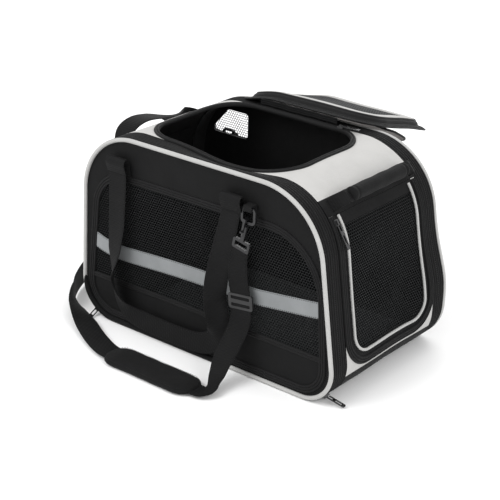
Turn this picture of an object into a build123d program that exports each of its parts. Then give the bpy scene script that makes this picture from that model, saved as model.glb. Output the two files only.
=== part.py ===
"""Soft-sided pet carrier bag: a padded-fabric shell with mesh windows, a zipped top lid folded
open over the back, a zipped end door, carry handles and a shoulder strap. Millimetres, +Z up,
+X towards the end door, -Y towards the front panel, origin on the floor under the middle."""
from build123d import *
from math import asin, cos, radians, sin, sqrt, tan, pi
import os

os.makedirs("parts", exist_ok=True)

# ---------------------------------------------------------------- driving dimensions
base_length = 497.0        # bag along X at the floor
height = 312.5             # floor to top panel
depth = 284.0              # between the centre lines of the two edge pipings
left_lean = 11.5           # how far the left end leans in at the top
right_lean = 46.5          # how far the door end leans in at the top
r_bottom_left = 63.0
r_bottom_right = 54.0
r_top_right = 112.0
r_top_left = 104.0

wall = 2.4                 # padded fabric wall
panel = 2.5                # front and back panels
mesh_t = 1.2               # net
band_width = 34.0          # expansion zip band on each side, along Y
piping_r = 3.25            # edge piping
gap = 0.5                  # clearance round moving panels
bottom_wrap = 39.0         # how far the black bottom panel turns up the ends

opening_left = 83.0        # top left corner to the opening
opening_right = 92.0       # opening to the top right corner
opening_depth = 200.0      # opening along Y
opening_r = 56.0           # opening corner radius
rim_width = 8.0
rim_height = 3.0

strip_height = 12.0        # fabric hinge strip that the lid hangs from
lid_tilt = 15.0            # degrees below level when folded open
lid_t = 2.4
lid_flat = 10.0            # flat zip tape round the lid's edge
lid_skirt = 12.0           # width of the sloping border inside it
lid_crown = 12.0           # how far the lid's frame stands above its edge
lid_frame_w = 20.0         # grey frame round the lid's net
shade_length = 112.0       # shade flap, from its seam
shade_angle = 17.0         # degrees that the shade flap hangs below the lid
shade_inset = 5.0          # flap clear of the lid's sloping border
shade_edge = 4.0           # bound edge of the flap
shade_t = 1.6

door_half = 98.0           # half the end door's width
door_bottom = 55.0
door_top = height - 43.5
door_r = 40.0
door_border = 14.0
header_top = height - 24.5 # top of the black header over the door
cord_w = 3.0               # thin piping on the door
cord_h = 2.5

slider_w, slider_l, slider_t = 8.0, 10.0, 2.6      # zip sliders
slider_gap = 0.3           # slider clear of its tape
bail_w, bail_l, bail_h = 3.0, 7.0, 2.0             # loop on a slider's back
pull_w, pull_t = 7.0, 1.6  # zip pull tabs
fork_l = 8.6               # the pull's forked end swings past the slider's loop
pull_hinge = 4.0           # pull's hinge behind the slider's middle
pull_lift = 1.0            # and above its back

window_left = 16.0         # front window: distance from the bag's outline
window_right = 25.0
window_top = 66.0
window_bottom = 15.0
window_lean = 16.0         # how far the window's right side leans in
window_slant = 22.0        # and its left side
kick_height = 71.0         # solid strip below the net
vent_low, vent_high = height - 73.5, height - 30.5      # small vent in the back panel
vent_left, vent_right = -224.0, -144.0
vent_slant = 38.0
binding_w = 9.0
binding_t = 2.0
tape_width = 25.0
tape_z = 134.0
tape_t = 0.8
end_window_half = 82.0     # left end window
end_window_low = 73.0
end_window_high = height - 64.5
end_window_r = 34.0

board_t = 4.0
pad_t = 14.0
floor_margin = 6.0         # board and pad clear of the sides and the rounded corners

webbing_t = 3.0
handle_w = 26.0            # handle webbing where it hangs twisted
handle_left_x = -160.0
handle_right_x = 60.0
handle_top_z = height - 45.5
handle_low_z = 34.0
handle_gap = 2.0           # handle clear of the piping
back_handle_drop = 47.0    # the back handle is sewn on lower
anchor_w = 32.0
anchor_h = 26.0

sleeve_r = 11.0            # padded sleeve of the end grab handle
sleeve_half = 70.0
sleeve_lift = 22.0         # its centre above the header
grab_half = 98.0
grab_w = 18.0

ring_wire = 4.0
ring_inner = 18.0
ring_out = 8.25            # ring's middle plane beyond the piping's centre line
hook_hole = 3.4            # half the hook's opening
hook_wire = 3.4
hook_w = 4.6
bolt_w, bolt_l, bolt_t = 3.2, 16.0, 2.4      # sliding bolt that closes the hook
bolt_reach = 1.0           # where the bolt meets the hook's tip
bolt_play = 0.3
knob_r = 1.6
barrel_r = 3.8
barrel_end = 22.0          # from the ring's bar to the end of the barrel
eye_w = 30.0
eye_l = 16.0
eye_t = 4.0
hook_reach = 46.0          # from the ring's bar to the far side of the eye
glide_w = 44.0
glide_t = 3.6

strap_d = 8.0              # round section that stands in for the flat webbing
strap_pad_l = 172.0
strap_pad_w = 56.0
strap_pad_t = 11.0
strap_pad_x, strap_pad_y = -20.0, -230.0

# ---------------------------------------------------------------- derived places
half_length = base_length / 2
half_depth = depth / 2
top_left_x = -(half_length - left_lean)
top_right_x = half_length - right_lean
gusset_half = half_depth - band_width
face_y = half_depth - 1.0            # outer face of the front and back panels
inner_y = face_y - panel

left_slope = asin(left_lean / sqrt(height**2 + left_lean**2))
right_slope = asin(right_lean / sqrt(height**2 + right_lean**2))
corner_left_x = -half_length + r_bottom_left / tan((pi / 2 - left_slope) / 2)
corner_right_x = half_length - r_bottom_right / tan((pi / 2 - right_slope) / 2)
corner_turn = (pi / 2 + right_slope) / 2
arc_x = top_right_x - r_top_right / tan(corner_turn)
arc_z = height - r_top_right

opening_x0 = top_left_x + opening_left
opening_x1 = top_right_x - opening_right
opening_cx = (opening_x0 + opening_x1) / 2
opening_len = opening_x1 - opening_x0
opening_half = opening_depth / 2

hinge_y = opening_half + rim_width + 2.0          # foot of the hinge strip
hinge_z = height + rim_height + 1.8
lid_y = hinge_y
lid_z = hinge_z + strip_height
lid_len = opening_len + 2 * rim_width - 2.0
lid_reach = hinge_y - strip_height + opening_half + rim_width - 1.0
lid_r = opening_r + rim_width - 1.0
strip_len = opening_len - 2 * opening_r - 4.0
lid_plane = Plane(origin=(opening_cx, lid_y, lid_z), x_dir=(1, 0, 0),
                  z_dir=(0, sin(radians(lid_tilt)), cos(radians(lid_tilt))))


def save(piece, label):
    """Label a finished piece and write it to its own file."""
    piece.label = label
    export_step(piece, f"parts/{label}.step")
    print(label, round(piece.volume / 1000, 2), "cm3")


def rounded_outline(corners, radii, inset):
    """A closed outline with its own radius at each corner, moved inwards by inset."""
    with BuildSketch() as outline:
        with BuildLine():
            Polyline(*corners, close=True)
        make_face()
        for corner, radius in zip(corners, radii):
            fillet(outline.vertices().sort_by_distance(Vector(*corner))[0], radius)
        if inset:
            offset(amount=-inset)
    return outline.sketch


def side_outline(inset):
    """The bag's side outline in X and Z."""
    corners = [(-half_length, 0), (half_length, 0), (top_right_x, height), (top_left_x, height)]
    return rounded_outline(corners, [r_bottom_left, r_bottom_right, r_top_right, r_top_left], inset)


def wall_ring(outer, inner):
    """The bag's wall seen from the front, between two insets of the side outline."""
    with BuildSketch() as ring:
        add(side_outline(outer))
        add(side_outline(inner), mode=Mode.SUBTRACT)
    return ring.sketch


def window_outline(inset):
    """The arched window zone of the front panel."""
    left, right = -half_length + window_left, half_length - window_right
    top = height - window_top
    corners = [(left, window_bottom), (right, window_bottom), (right - window_lean, top),
               (left + window_slant, top)]
    return rounded_outline(corners, [48, 40, 98, 62], inset)


def net_outline(side):
    """The hole for the net: the window above its kick strip in front, a small vent at the back."""
    if side == "back":
        corners = [(vent_left, vent_low), (vent_right, vent_low), (vent_right, vent_high),
                   (vent_left + vent_slant, vent_high)]
        return rounded_outline(corners, [6, 6, 6, 12], 0)
    with BuildSketch() as hole:
        add(window_outline(0))
        with Locations((0, kick_height + height / 2)):
            Rectangle(2 * base_length, height, mode=Mode.INTERSECT)
    return hole.sketch


def opening_outline(grow):
    """The top opening, or what follows it, grown by this much."""
    with BuildSketch() as outline:
        RectangleRounded(opening_len + 2 * grow, opening_depth + 2 * grow, opening_r + grow)
    return outline.sketch


def lid_outline(inset):
    """The lid's outline in its own plane, from its hinge edge outwards."""
    with BuildSketch() as outline:
        with Locations((0, gap + (lid_reach - gap) / 2)):
            RectangleRounded(lid_len - 2 * inset, lid_reach - gap - 2 * inset, lid_r - inset)
    return outline.sketch


def door_outline(inset, top):
    """The end door in Y and Z: square at its hinge, rounded at its foot."""
    with BuildSketch() as outline:
        with Locations((0, (door_bottom + inset + top) / 2)):
            Rectangle(2 * (door_half - inset), top - door_bottom - inset)
        fillet(outline.vertices().group_by(Axis.Y)[0], door_r - inset)
    return outline.sketch


def on_arc(z, lift):
    """A point at this height on the top right corner's curve, lifted off the surface."""
    slope = asin((z - arc_z) / r_top_right)
    reach = r_top_right + lift
    return arc_x + reach * cos(slope), arc_z + reach * sin(slope), slope


# ---------------------------------------------------------------- floor
with BuildPart() as bottom_panel:
    with BuildSketch(Plane.XZ.offset(gusset_half)):
        add(wall_ring(0, wall))
        with Locations((0, bottom_wrap / 2)):
            Rectangle(2 * base_length, bottom_wrap, mode=Mode.INTERSECT)
    extrude(amount=-2 * gusset_half)
save(bottom_panel.part, "bottom_panel")

board_length = corner_right_x - corner_left_x - 2.0
board_x = (corner_left_x + corner_right_x) / 2
with BuildPart() as base_board:
    with BuildSketch(Plane.XY.offset(wall)):
        with Locations((board_x, 0)):
            RectangleRounded(board_length, 2 * (inner_y - floor_margin), 12)
    extrude(amount=board_t)
save(base_board.part, "base_board")

with BuildPart() as floor_pad:
    with BuildSketch(Plane.XY.offset(wall + board_t)):
        with Locations((board_x, 0)):
            RectangleRounded(board_length, 2 * (inner_y - floor_margin), 18)
    extrude(amount=pad_t)
    fillet(floor_pad.faces().sort_by(Axis.Z)[-1].edges(), 5)
save(floor_pad.part, "floor_pad")

# ---------------------------------------------------------------- ends and top
with BuildPart() as left_end_panel:
    with BuildSketch(Plane.XZ.offset(gusset_half)):
        add(wall_ring(0, wall))
        with Locations((-half_length / 2, (bottom_wrap + header_top) / 2)):
            Rectangle(half_length, header_top - bottom_wrap, mode=Mode.INTERSECT)
    extrude(amount=-2 * gusset_half)
    with BuildSketch(Plane.YZ.offset(-2 * half_length)):
        with Locations((0, (end_window_low + end_window_high) / 2)):
            RectangleRounded(2 * end_window_half, end_window_high - end_window_low, end_window_r)
    extrude(amount=2 * half_length, mode=Mode.SUBTRACT)
save(left_end_panel.part, "left_end_panel")

with BuildPart() as left_window_net:
    with BuildSketch(Plane.XZ.offset(gusset_half)):
        add(wall_ring(0.6, 0.6 + mesh_t))
        with Locations((-half_length / 2, (bottom_wrap + header_top) / 2)):
            Rectangle(half_length, header_top - bottom_wrap, mode=Mode.INTERSECT)
    extrude(amount=-2 * gusset_half)
    with BuildSketch(Plane.YZ.offset(-2 * half_length)):
        with Locations((0, (end_window_low + end_window_high) / 2)):
            RectangleRounded(2 * end_window_half, end_window_high - end_window_low, end_window_r)
    extrude(amount=2 * half_length, mode=Mode.INTERSECT)
save(left_window_net.part, "left_window_net")

with BuildPart() as left_window_binding:
    with BuildSketch(Plane.XZ.offset(gusset_half)):
        add(wall_ring(-binding_t, 0))
        with Locations((-half_length / 2, (bottom_wrap + header_top) / 2)):
            Rectangle(half_length + 20, header_top - bottom_wrap, mode=Mode.INTERSECT)
    extrude(amount=-2 * gusset_half)
    with BuildSketch(Plane.YZ.offset(-2 * half_length)):
        with Locations((0, (end_window_low + end_window_high) / 2)):
            RectangleRounded(2 * end_window_half + binding_w, end_window_high - end_window_low + binding_w,
                             end_window_r + binding_w / 2)
            RectangleRounded(2 * end_window_half - binding_w, end_window_high - end_window_low - binding_w,
                             end_window_r - binding_w / 2, mode=Mode.SUBTRACT)
    extrude(amount=2 * half_length, mode=Mode.INTERSECT)
save(left_window_binding.part, "left_window_binding")

with BuildPart() as top_panel:
    with BuildSketch(Plane.XZ.offset(gusset_half)):
        add(wall_ring(0, wall))
        with Locations((0, header_top + height / 2)):
            Rectangle(2 * base_length, height, mode=Mode.INTERSECT)
    extrude(amount=-2 * gusset_half)
    with BuildSketch(Plane.XY.offset(height / 2)):
        with Locations((opening_cx, 0)):
            add(opening_outline(0))
    extrude(amount=height, mode=Mode.SUBTRACT)
save(top_panel.part, "top_panel")

with BuildPart() as opening_rim:
    with BuildSketch(Plane.XZ.offset(half_depth)):
        add(wall_ring(-rim_height, 0))
    extrude(amount=-2 * half_depth)
    with BuildSketch(Plane.XY.offset(height / 2)):
        with Locations((opening_cx, 0)):
            add(opening_outline(rim_width))
            add(opening_outline(0), mode=Mode.SUBTRACT)
    extrude(amount=height, mode=Mode.INTERSECT)
save(opening_rim.part, "opening_rim")

with BuildPart() as hinge_seam:
    with BuildSketch(Plane.XY.offset(height)):
        with Locations((opening_cx, opening_half + rim_width + 2.5)):
            Rectangle(strip_len, 5.0)
    extrude(amount=rim_height)
save(hinge_seam.part, "hinge_seam")

with BuildPart() as right_end_panel:
    with BuildSketch(Plane.XZ.offset(gusset_half)):
        add(wall_ring(0, wall))
        with Locations((half_length / 2, (bottom_wrap + door_top) / 2)):
            Rectangle(half_length, door_top - bottom_wrap, mode=Mode.INTERSECT)
    extrude(amount=-2 * gusset_half)
    with BuildSketch(Plane.YZ):
        add(door_outline(0, door_top + 1))
    extrude(amount=2 * half_length, mode=Mode.SUBTRACT)
save(right_end_panel.part, "right_end_panel")

with BuildPart() as door_header:
    with BuildSketch(Plane.XZ.offset(gusset_half)):
        add(wall_ring(0, wall))
        with Locations((half_length / 2, (door_top + header_top) / 2)):
            Rectangle(half_length, header_top - door_top, mode=Mode.INTERSECT)
    extrude(amount=-2 * gusset_half)
save(door_header.part, "door_header")

# ---------------------------------------------------------------- end door, hinged along its top
with BuildPart() as door_frame:
    with BuildSketch(Plane.XZ.offset(gusset_half)):
        add(wall_ring(0, wall))
        with Locations((half_length, height / 2)):
            Rectangle(half_length, height, mode=Mode.INTERSECT)
    extrude(amount=-2 * gusset_half)
    with BuildSketch(Plane.YZ):
        add(door_outline(gap, door_top - gap))
        add(door_outline(door_border, door_top - gap - door_border), mode=Mode.SUBTRACT)
    extrude(amount=2 * half_length, mode=Mode.INTERSECT)
save(door_frame.part, "door_frame")

with BuildPart() as door_net:
    with BuildSketch(Plane.XZ.offset(gusset_half)):
        add(wall_ring(0.6, 0.6 + mesh_t))
        with Locations((half_length, height / 2)):
            Rectangle(half_length, height, mode=Mode.INTERSECT)
    extrude(amount=-2 * gusset_half)
    with BuildSketch(Plane.YZ):
        add(door_outline(door_border, door_top - gap - door_border))
    extrude(amount=2 * half_length, mode=Mode.INTERSECT)
save(door_net.part, "door_net")

with BuildPart() as door_piping:
    with BuildSketch(Plane.XZ.offset(gusset_half)):
        add(wall_ring(-cord_h, 0))
        with Locations((half_length, height / 2)):
            Rectangle(half_length, height, mode=Mode.INTERSECT)
    extrude(amount=-2 * gusset_half)
    with BuildSketch(Plane.YZ):
        add(door_outline(door_border, door_top - 2 * gap))
        add(door_outline(door_border + cord_w, door_top), mode=Mode.SUBTRACT)
    extrude(amount=2 * half_length, mode=Mode.INTERSECT)
save(door_piping.part, "door_piping")
print("door hinge", [round(v, 2) for v in on_arc(door_top, 0)[:2]])

# ---------------------------------------------------------------- front and back sides
for side, facing in (("front", 1), ("back", -1)):
    with BuildPart() as side_panel:
        with BuildSketch(Plane.XZ.offset(facing * face_y)):
            add(side_outline(2 * piping_r))
            add(net_outline(side), mode=Mode.SUBTRACT)
        extrude(amount=-facing * panel)
    save(side_panel.part, f"{side}_panel")

    with BuildPart() as side_net:
        with BuildSketch(Plane.XZ.offset(facing * (face_y - 0.6))):
            add(net_outline(side))
        extrude(amount=-facing * mesh_t)
    save(side_net.part, f"{side}_window_net")

    with BuildPart() as side_tape:
        with BuildSketch(Plane.XZ.offset(facing * (face_y - 0.6 * (facing > 0)))):
            add(window_outline(binding_w / 2 + 1))
            with Locations((0, tape_z)):
                Rectangle(2 * base_length, tape_width, mode=Mode.INTERSECT)
        extrude(amount=facing * tape_t)
    save(side_tape.part, f"{side}_reflective_tape")

    with BuildPart() as zip_band:
        with BuildSketch(Plane.XZ.offset(facing * gusset_half)):
            add(wall_ring(0, wall))
        extrude(amount=facing * (inner_y - gusset_half))
    save(zip_band.part, f"{side}_zip_band")

    with BuildPart() as edge_piping:
        with BuildSketch(Plane.XZ.offset(facing * inner_y)):
            add(wall_ring(0, 2 * piping_r))
        extrude(amount=facing * (half_depth + piping_r - inner_y))
        fillet(edge_piping.faces().sort_by(Axis.Y)[0 if facing > 0 else -1].edges(), piping_r - 0.4)
    save(edge_piping.part, f"{side}_piping")

with BuildPart() as window_binding:
    with BuildSketch(Plane.XZ.offset(face_y)):
        add(window_outline(-binding_w / 2))
        add(window_outline(binding_w / 2), mode=Mode.SUBTRACT)
    extrude(amount=binding_t)
save(window_binding.part, "front_window_binding")

# ---------------------------------------------------------------- lid, folded open over the back
with BuildPart() as lid_strip:
    with BuildSketch(Plane.XY.offset(hinge_z + gap)):
        with Locations((opening_cx, hinge_y)):
            Rectangle(strip_len, 2.0)
    extrude(amount=strip_height - 2 * gap - 2.0)
save(lid_strip.part, "lid_strip")

with BuildPart() as lid_border:
    with BuildSketch(lid_plane.offset(-lid_t / 2)):
        add(lid_outline(0))
        add(lid_outline(lid_flat + lid_t), mode=Mode.SUBTRACT)
    extrude(amount=lid_t)
    with BuildSketch(lid_plane.offset(-lid_t / 2)):
        add(lid_outline(lid_flat))
    with BuildSketch(lid_plane.offset(lid_crown + lid_t / 2)):
        add(lid_outline(lid_flat + lid_skirt))
    loft()
    with BuildSketch(lid_plane.offset(-lid_t / 2)):
        add(lid_outline(lid_flat + lid_t))
    with BuildSketch(lid_plane.offset(lid_crown - lid_t / 2)):
        add(lid_outline(lid_flat + lid_skirt))
    loft(mode=Mode.SUBTRACT)
    with BuildSketch(lid_plane.offset(lid_crown - lid_t / 2)):
        add(lid_outline(lid_flat + lid_skirt + lid_t))
    extrude(amount=lid_t, mode=Mode.SUBTRACT)
save(lid_border.part, "lid_border")

net_inset = lid_flat + lid_skirt + lid_frame_w
with BuildPart() as lid_frame:
    with BuildSketch(lid_plane.offset(lid_crown - lid_t / 2)):
        add(lid_outline(lid_flat + lid_skirt + lid_t))
        add(lid_outline(net_inset), mode=Mode.SUBTRACT)
    extrude(amount=lid_t)
save(lid_frame.part, "lid_frame")

with BuildPart() as lid_net:
    with BuildSketch(lid_plane.offset(lid_crown - mesh_t / 2)):
        add(lid_outline(net_inset))
    extrude(amount=mesh_t)
save(lid_net.part, "lid_net")

# shade flap inside the lid's hollow, hanging from a seam along the frame near the lid's hinge
dish_inset = lid_flat + lid_skirt + lid_t
shade_w = lid_len - 2 * (dish_inset + shade_inset)
seam = lid_plane.from_local_coords(Vector(0, dish_inset + shade_inset, lid_crown - lid_t / 2 - 0.8 - shade_t))
shade_tilt = radians(lid_tilt + shade_angle)
shade_plane = Plane(origin=seam, x_dir=(1, 0, 0), z_dir=(0, sin(shade_tilt), cos(shade_tilt)))
with BuildPart() as shade_flap:
    with BuildSketch(shade_plane.offset(-shade_t / 2)):
        with Locations((0, shade_length / 2)):
            RectangleRounded(shade_w - 2 * shade_edge, shade_length - 2 * shade_edge, 20)
    extrude(amount=shade_t)
save(shade_flap.part, "shade_flap")

with BuildPart() as shade_binding:
    with BuildSketch(shade_plane.offset(-shade_t / 2 - 0.3)):
        with Locations((0, shade_length / 2)):
            RectangleRounded(shade_w, shade_length, 20 + shade_edge)
            RectangleRounded(shade_w - 2 * shade_edge, shade_length - 2 * shade_edge, 20, mode=Mode.SUBTRACT)
    extrude(amount=shade_t + 0.6)
save(shade_binding.part, "shade_binding")


# ---------------------------------------------------------------- zip sliders with pull tabs
def slider_place(origin, outward, hang):
    """A plane on a zip: z leaves the surface, -y is the way the pull tab lies."""
    across = Vector(*outward).cross(Vector(*hang)).normalized()
    return Plane(origin=origin, x_dir=across, z_dir=outward)


door_x, door_z, door_slope = on_arc(door_top - 9, 0)
left_a, right_a = radians(232), radians(-56)       # where round the floor corners the front sliders sit
band_y = -(half_depth - band_width / 2)
zip_places = {
    "end_door": (slider_place((door_x, -door_half, door_z), (cos(door_slope), 0, sin(door_slope)),
                              (sin(door_slope), 0, -cos(door_slope))), 36.0, 0),
    "lid": (slider_place((opening_x1 - opening_r + 9, opening_half + 4, height + rim_height),
                         (0, 0, 1), (1, 0, 0)), 30.0, 0),
    "front_left": (slider_place((corner_left_x + r_bottom_left * cos(left_a), band_y,
                                 r_bottom_left * (1 + sin(left_a))), (cos(left_a), 0, sin(left_a)),
                                (0.3 * sin(-left_a), -0.95, 0.3 * cos(left_a))), 34.0, 0),
    "front_right": (slider_place((corner_right_x + r_bottom_right * cos(right_a), band_y,
                                  r_bottom_right * (1 + sin(right_a))), (cos(right_a), 0, sin(right_a)),
                                 (-sin(right_a), 0, cos(right_a))), 30.0, 44),
}
for place_name, (place, pull_length, raised) in zip_places.items():
    with BuildPart(place.offset(slider_gap)) as slider:
        Box(slider_w, slider_l, slider_t, align=(Align.CENTER, Align.CENTER, Align.MIN))
        with Locations((0, 0, slider_t)):
            Box(bail_w, bail_l, bail_h, align=(Align.CENTER, Align.CENTER, Align.MIN))
    save(slider.part, f"{place_name}_slider")
    hinge = place.from_local_coords(Vector(0, -pull_hinge, slider_gap + slider_t + pull_lift))
    turn = radians(raised)
    pull_place = Plane(origin=hinge, x_dir=place.x_dir,
                       z_dir=place.z_dir * cos(turn) + place.y_dir * sin(turn))
    with BuildPart() as pull:
        with BuildSketch(pull_place.offset(-pull_t / 2)):
            with Locations((0, -pull_length / 2)):
                RectangleRounded(pull_w, pull_length, 2.4)
            with Locations((0, -fork_l / 2)):
                Rectangle(bail_w + 2 * gap, fork_l, mode=Mode.SUBTRACT)
            with Locations((0, -0.62 * pull_length)):
                RectangleRounded(3.2, 0.4 * pull_length, 1.2, mode=Mode.SUBTRACT)
        extrude(amount=pull_t)
    save(pull.part, f"{place_name}_pull")
    print(place_name, "pull hinge", [round(v, 2) for v in hinge], "axis",
          [round(v, 4) for v in place.x_dir], "normal", [round(v, 4) for v in place.z_dir],
          "lowest", round(pull.part.bounding_box().min.Z, 2))

# ---------------------------------------------------------------- carry handles
handle_y = half_depth + piping_r + handle_gap
for side, facing, top_z in (("front", 1, handle_top_z), ("back", -1, handle_top_z - back_handle_drop)):
    with BuildPart() as handle:
        with BuildSketch(Plane.XZ.offset(facing * handle_y)):
            with BuildLine():
                Polyline((handle_left_x, top_z), (handle_left_x + 4, handle_low_z + 60),
                         (handle_left_x + 34, handle_low_z), (handle_right_x - 46, handle_low_z),
                         (handle_right_x - 26, handle_low_z + 60), (handle_right_x - 20, top_z - 90),
                         (handle_right_x, top_z))
            trace(line_width=handle_w)
        extrude(amount=facing * webbing_t)
    save(handle.part, f"{side}_carry_handle")
    with BuildPart() as anchors:
        with BuildSketch(Plane.XZ.offset(facing * face_y)):
            with Locations((handle_left_x, top_z + 16), (handle_right_x, top_z + 16)):
                Rectangle(anchor_w, anchor_h)
        extrude(amount=facing * (handle_y - face_y - 1))
    save(anchors.part, f"{side}_handle_anchors")
    print(side, "handle hinge", -facing * (handle_y + webbing_t / 2), top_z)

# ---------------------------------------------------------------- end grab handle over the door
grab_x, grab_z, grab_slope = on_arc((door_top + header_top) / 2, 0)
grab_out = (cos(grab_slope), 0, sin(grab_slope))
grab_plane = Plane(origin=(grab_x, 0, grab_z), x_dir=(0, 1, 0),
                   z_dir=Vector(0, 1, 0).cross(Vector(*grab_out)))
with BuildPart() as grab_sleeve:
    with BuildSketch(Plane(origin=(grab_x + sleeve_lift * cos(grab_slope), -sleeve_half,
                                   grab_z + sleeve_lift * sin(grab_slope)), z_dir=(0, 1, 0))):
        Circle(sleeve_r)
    extrude(amount=2 * sleeve_half)
    with BuildSketch(grab_plane):
        with Locations((0, sleeve_lift)):
            Rectangle(4 * sleeve_half, webbing_t)
    extrude(amount=grab_w / 2, both=True, mode=Mode.SUBTRACT)
save(grab_sleeve.part, "grab_handle_sleeve")

with BuildPart() as grab_webbing:
    with BuildSketch(grab_plane):
        with BuildLine():
            Polyline((-grab_half, 3.2), (-grab_half + 6, 3.2), (-sleeve_half - 4, sleeve_lift),
                     (sleeve_half + 4, sleeve_lift), (grab_half - 6, 3.2), (grab_half, 3.2))
        trace(line_width=webbing_t)
    extrude(amount=grab_w / 2, both=True)
save(grab_webbing.part, "grab_handle_webbing")

# ---------------------------------------------------------------- strap rings, hooks and slide
ring_y = half_depth + ring_out
bar = ring_inner / 2 + ring_wire / 2
swing = radians(12)                 # the front hook hangs this far off plumb
splay = radians(19.4)               # the back hook stands this far off the panel
front_ring = (handle_right_x + 30, -ring_y, height - 55.5)
back_ring = (handle_left_x - 33, ring_y, height - 81.5)
hook_places = {
    "front": (Plane(origin=front_ring, x_dir=(1, 0, 0), z_dir=(0, -1, 0)),
              Plane(origin=(front_ring[0] - 4, -ring_y, front_ring[2] - bar),
                    x_dir=(cos(swing), 0, -sin(swing)), z_dir=(0, -1, 0))),
    "back": (Plane(origin=back_ring, x_dir=(0, 0, 1), z_dir=(0, 1, 0)),
             Plane(origin=(back_ring[0] - bar, ring_y, back_ring[2]), x_dir=(0, 0, 1),
                   z_dir=(sin(splay), cos(splay), 0))),
}
for side, (ring_place, hook_place) in hook_places.items():
    with BuildPart() as d_ring:
        with BuildSketch(ring_place.offset(-ring_wire / 2)):
            RectangleRounded(ring_inner + 2 * ring_wire, ring_inner + 2 * ring_wire, 7)
            RectangleRounded(ring_inner, ring_inner, 3, mode=Mode.SUBTRACT)
        extrude(amount=ring_wire)
    save(d_ring.part, f"{side}_d_ring")
    tab_low = face_y - ring_y
    with BuildPart(ring_place) as ring_tab:
        with Locations((0, bar, (tab_low + 4) / 2)):
            Box(ring_inner - 4, ring_wire + 5, 4 - tab_low)
        with Locations((0, bar, 0)):
            Box(ring_inner, ring_wire + 0.6, ring_wire + 0.6, mode=Mode.SUBTRACT)
    save(ring_tab.part, f"{side}_ring_tab")
    jaw = hook_hole + hook_wire                  # half the hook's outer size
    with BuildPart(hook_place) as snap_hook:
        Box(hook_w, 2 * jaw, 2 * jaw)
        Box(hook_w, 2 * hook_hole, 2 * hook_hole, mode=Mode.SUBTRACT)
        with Locations(Location((0, -(jaw + barrel_end) / 2, 0), (90, 0, 0))):
            Cylinder(barrel_r, barrel_end - jaw)
        with Locations((0, (bolt_reach - jaw) / 2, hook_hole + hook_wire / 2)):
            Box(hook_w, jaw + bolt_reach, hook_wire, mode=Mode.SUBTRACT)
    save(snap_hook.part, f"{side}_snap_hook")
    with BuildPart(hook_place) as hook_bolt:
        with Locations((0, bolt_reach - bolt_play - bolt_l / 2, jaw - bolt_play - bolt_t / 2)):
            Box(bolt_w, bolt_l, bolt_t)
        with Locations((0, bolt_reach - bolt_play - bolt_l + knob_r, jaw - bolt_play)):
            Cylinder(knob_r, 2 * knob_r, align=(Align.CENTER, Align.CENTER, Align.MIN))
    save(hook_bolt.part, f"{side}_hook_bolt")
    slide_way = hook_place.y_dir * -1
    print(side, "bolt slides along", [round(v, 4) for v in slide_way])
    with BuildPart() as swivel_eye:
        with BuildSketch(hook_place.offset(-eye_t / 2)):
            with Locations((0, -hook_reach + eye_l / 2)):
                RectangleRounded(eye_w, eye_l, 3)
            with Locations((0, -(barrel_end + hook_reach - eye_l + 1) / 2)):
                Rectangle(6, hook_reach - eye_l - barrel_end + 1)
            with Locations((0, -hook_reach + eye_l / 2)):
                RectangleRounded(eye_w - 8, eye_l - 8, 1.5, mode=Mode.SUBTRACT)
        extrude(amount=eye_t)
    save(swivel_eye.part, f"{side}_swivel_eye")
    end = hook_place.from_local_coords(Vector(0, -hook_reach, 0))
    print(side, "strap leaves its eye at", [round(v, 2) for v in end])

# ---------------------------------------------------------------- shoulder strap
def strap_tube(points, label):
    """One stretch of the strap: straight runs joined by arcs as large as the runs allow."""
    radii = []
    for before, corner, after in zip(points, points[1:], points[2:]):
        run_in, run_out = Vector(*corner) - Vector(*before), Vector(*after) - Vector(*corner)
        turn = radians(run_in.get_angle(run_out))
        radii.append(0.45 * min(run_in.length, run_out.length) / tan(turn / 2))
    with BuildPart() as tube:
        with BuildLine() as path:
            FilletPolyline(*points, radius=radii)
        with BuildSketch(Plane(origin=path.line @ 0, z_dir=path.line % 0)):
            Circle(strap_d / 2)
        sweep()
    save(tube.part, label)
    route_length = sum(edge.length for edge in path.line.edges())
    print(label, "length", round(route_length, 1), "least radius", round(min(radii), 1),
          "volume over section x length",
          round(tube.part.volume / (pi * strap_d**2 / 4 * route_length), 4))


glide_top = (78.0, -ring_y, 133.0)
glide_foot = (81.0, -ring_y, 109.0)
strap_upper = [(76.44, -ring_y, 200.9), (71.0, -ring_y, 175.5), (73.0, -ring_y, 152.0), glide_top]
strap_lower = [glide_foot, (80.0, -152.5, 85.0), (74.0, -161.0, 60.0), (70.0, -177.0, 37.0),
               (76.0, -198.0, 17.0), (84.0, -218.0, 8.0), (78.0, -229.0, 5.5), (66.2, -230.0, 5.5)]
strap_rear = [(-106.3, -230.0, 5.5), (-148.0, -214.0, 5.0), (-194.0, -190.0, 6.0), (-240.0, -165.0, 12.0),
              (-276.0, -138.0, 18.0), (-303.0, -100.0, 21.0), (-319.0, -62.0, 24.0), (-324.0, -20.0, 35.0),
              (-316.0, 14.0, 65.0), (-294.0, 20.0, 111.0), (-275.0, 2.0, 159.0), (-263.0, -26.0, 207.0),
              (-257.0, -44.0, 247.0), (-256.0, -34.0, 275.0), (-256.0, -2.0, 285.0), (-258.0, 40.0, 278.0),
              (-268.0, 80.0, 267.0), (-280.0, 109.0, 256.0), (-289.0, 137.0, 247.0),
              (-287.0, 161.0, 239.0), (-269.0, 173.0, 233.0), (-247.45, 165.5, 231.0)]
strap_tube(strap_upper, "shoulder_strap_upper")
strap_tube(strap_lower, "shoulder_strap_lower")
strap_tube(strap_rear, "shoulder_strap_rear")

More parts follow.
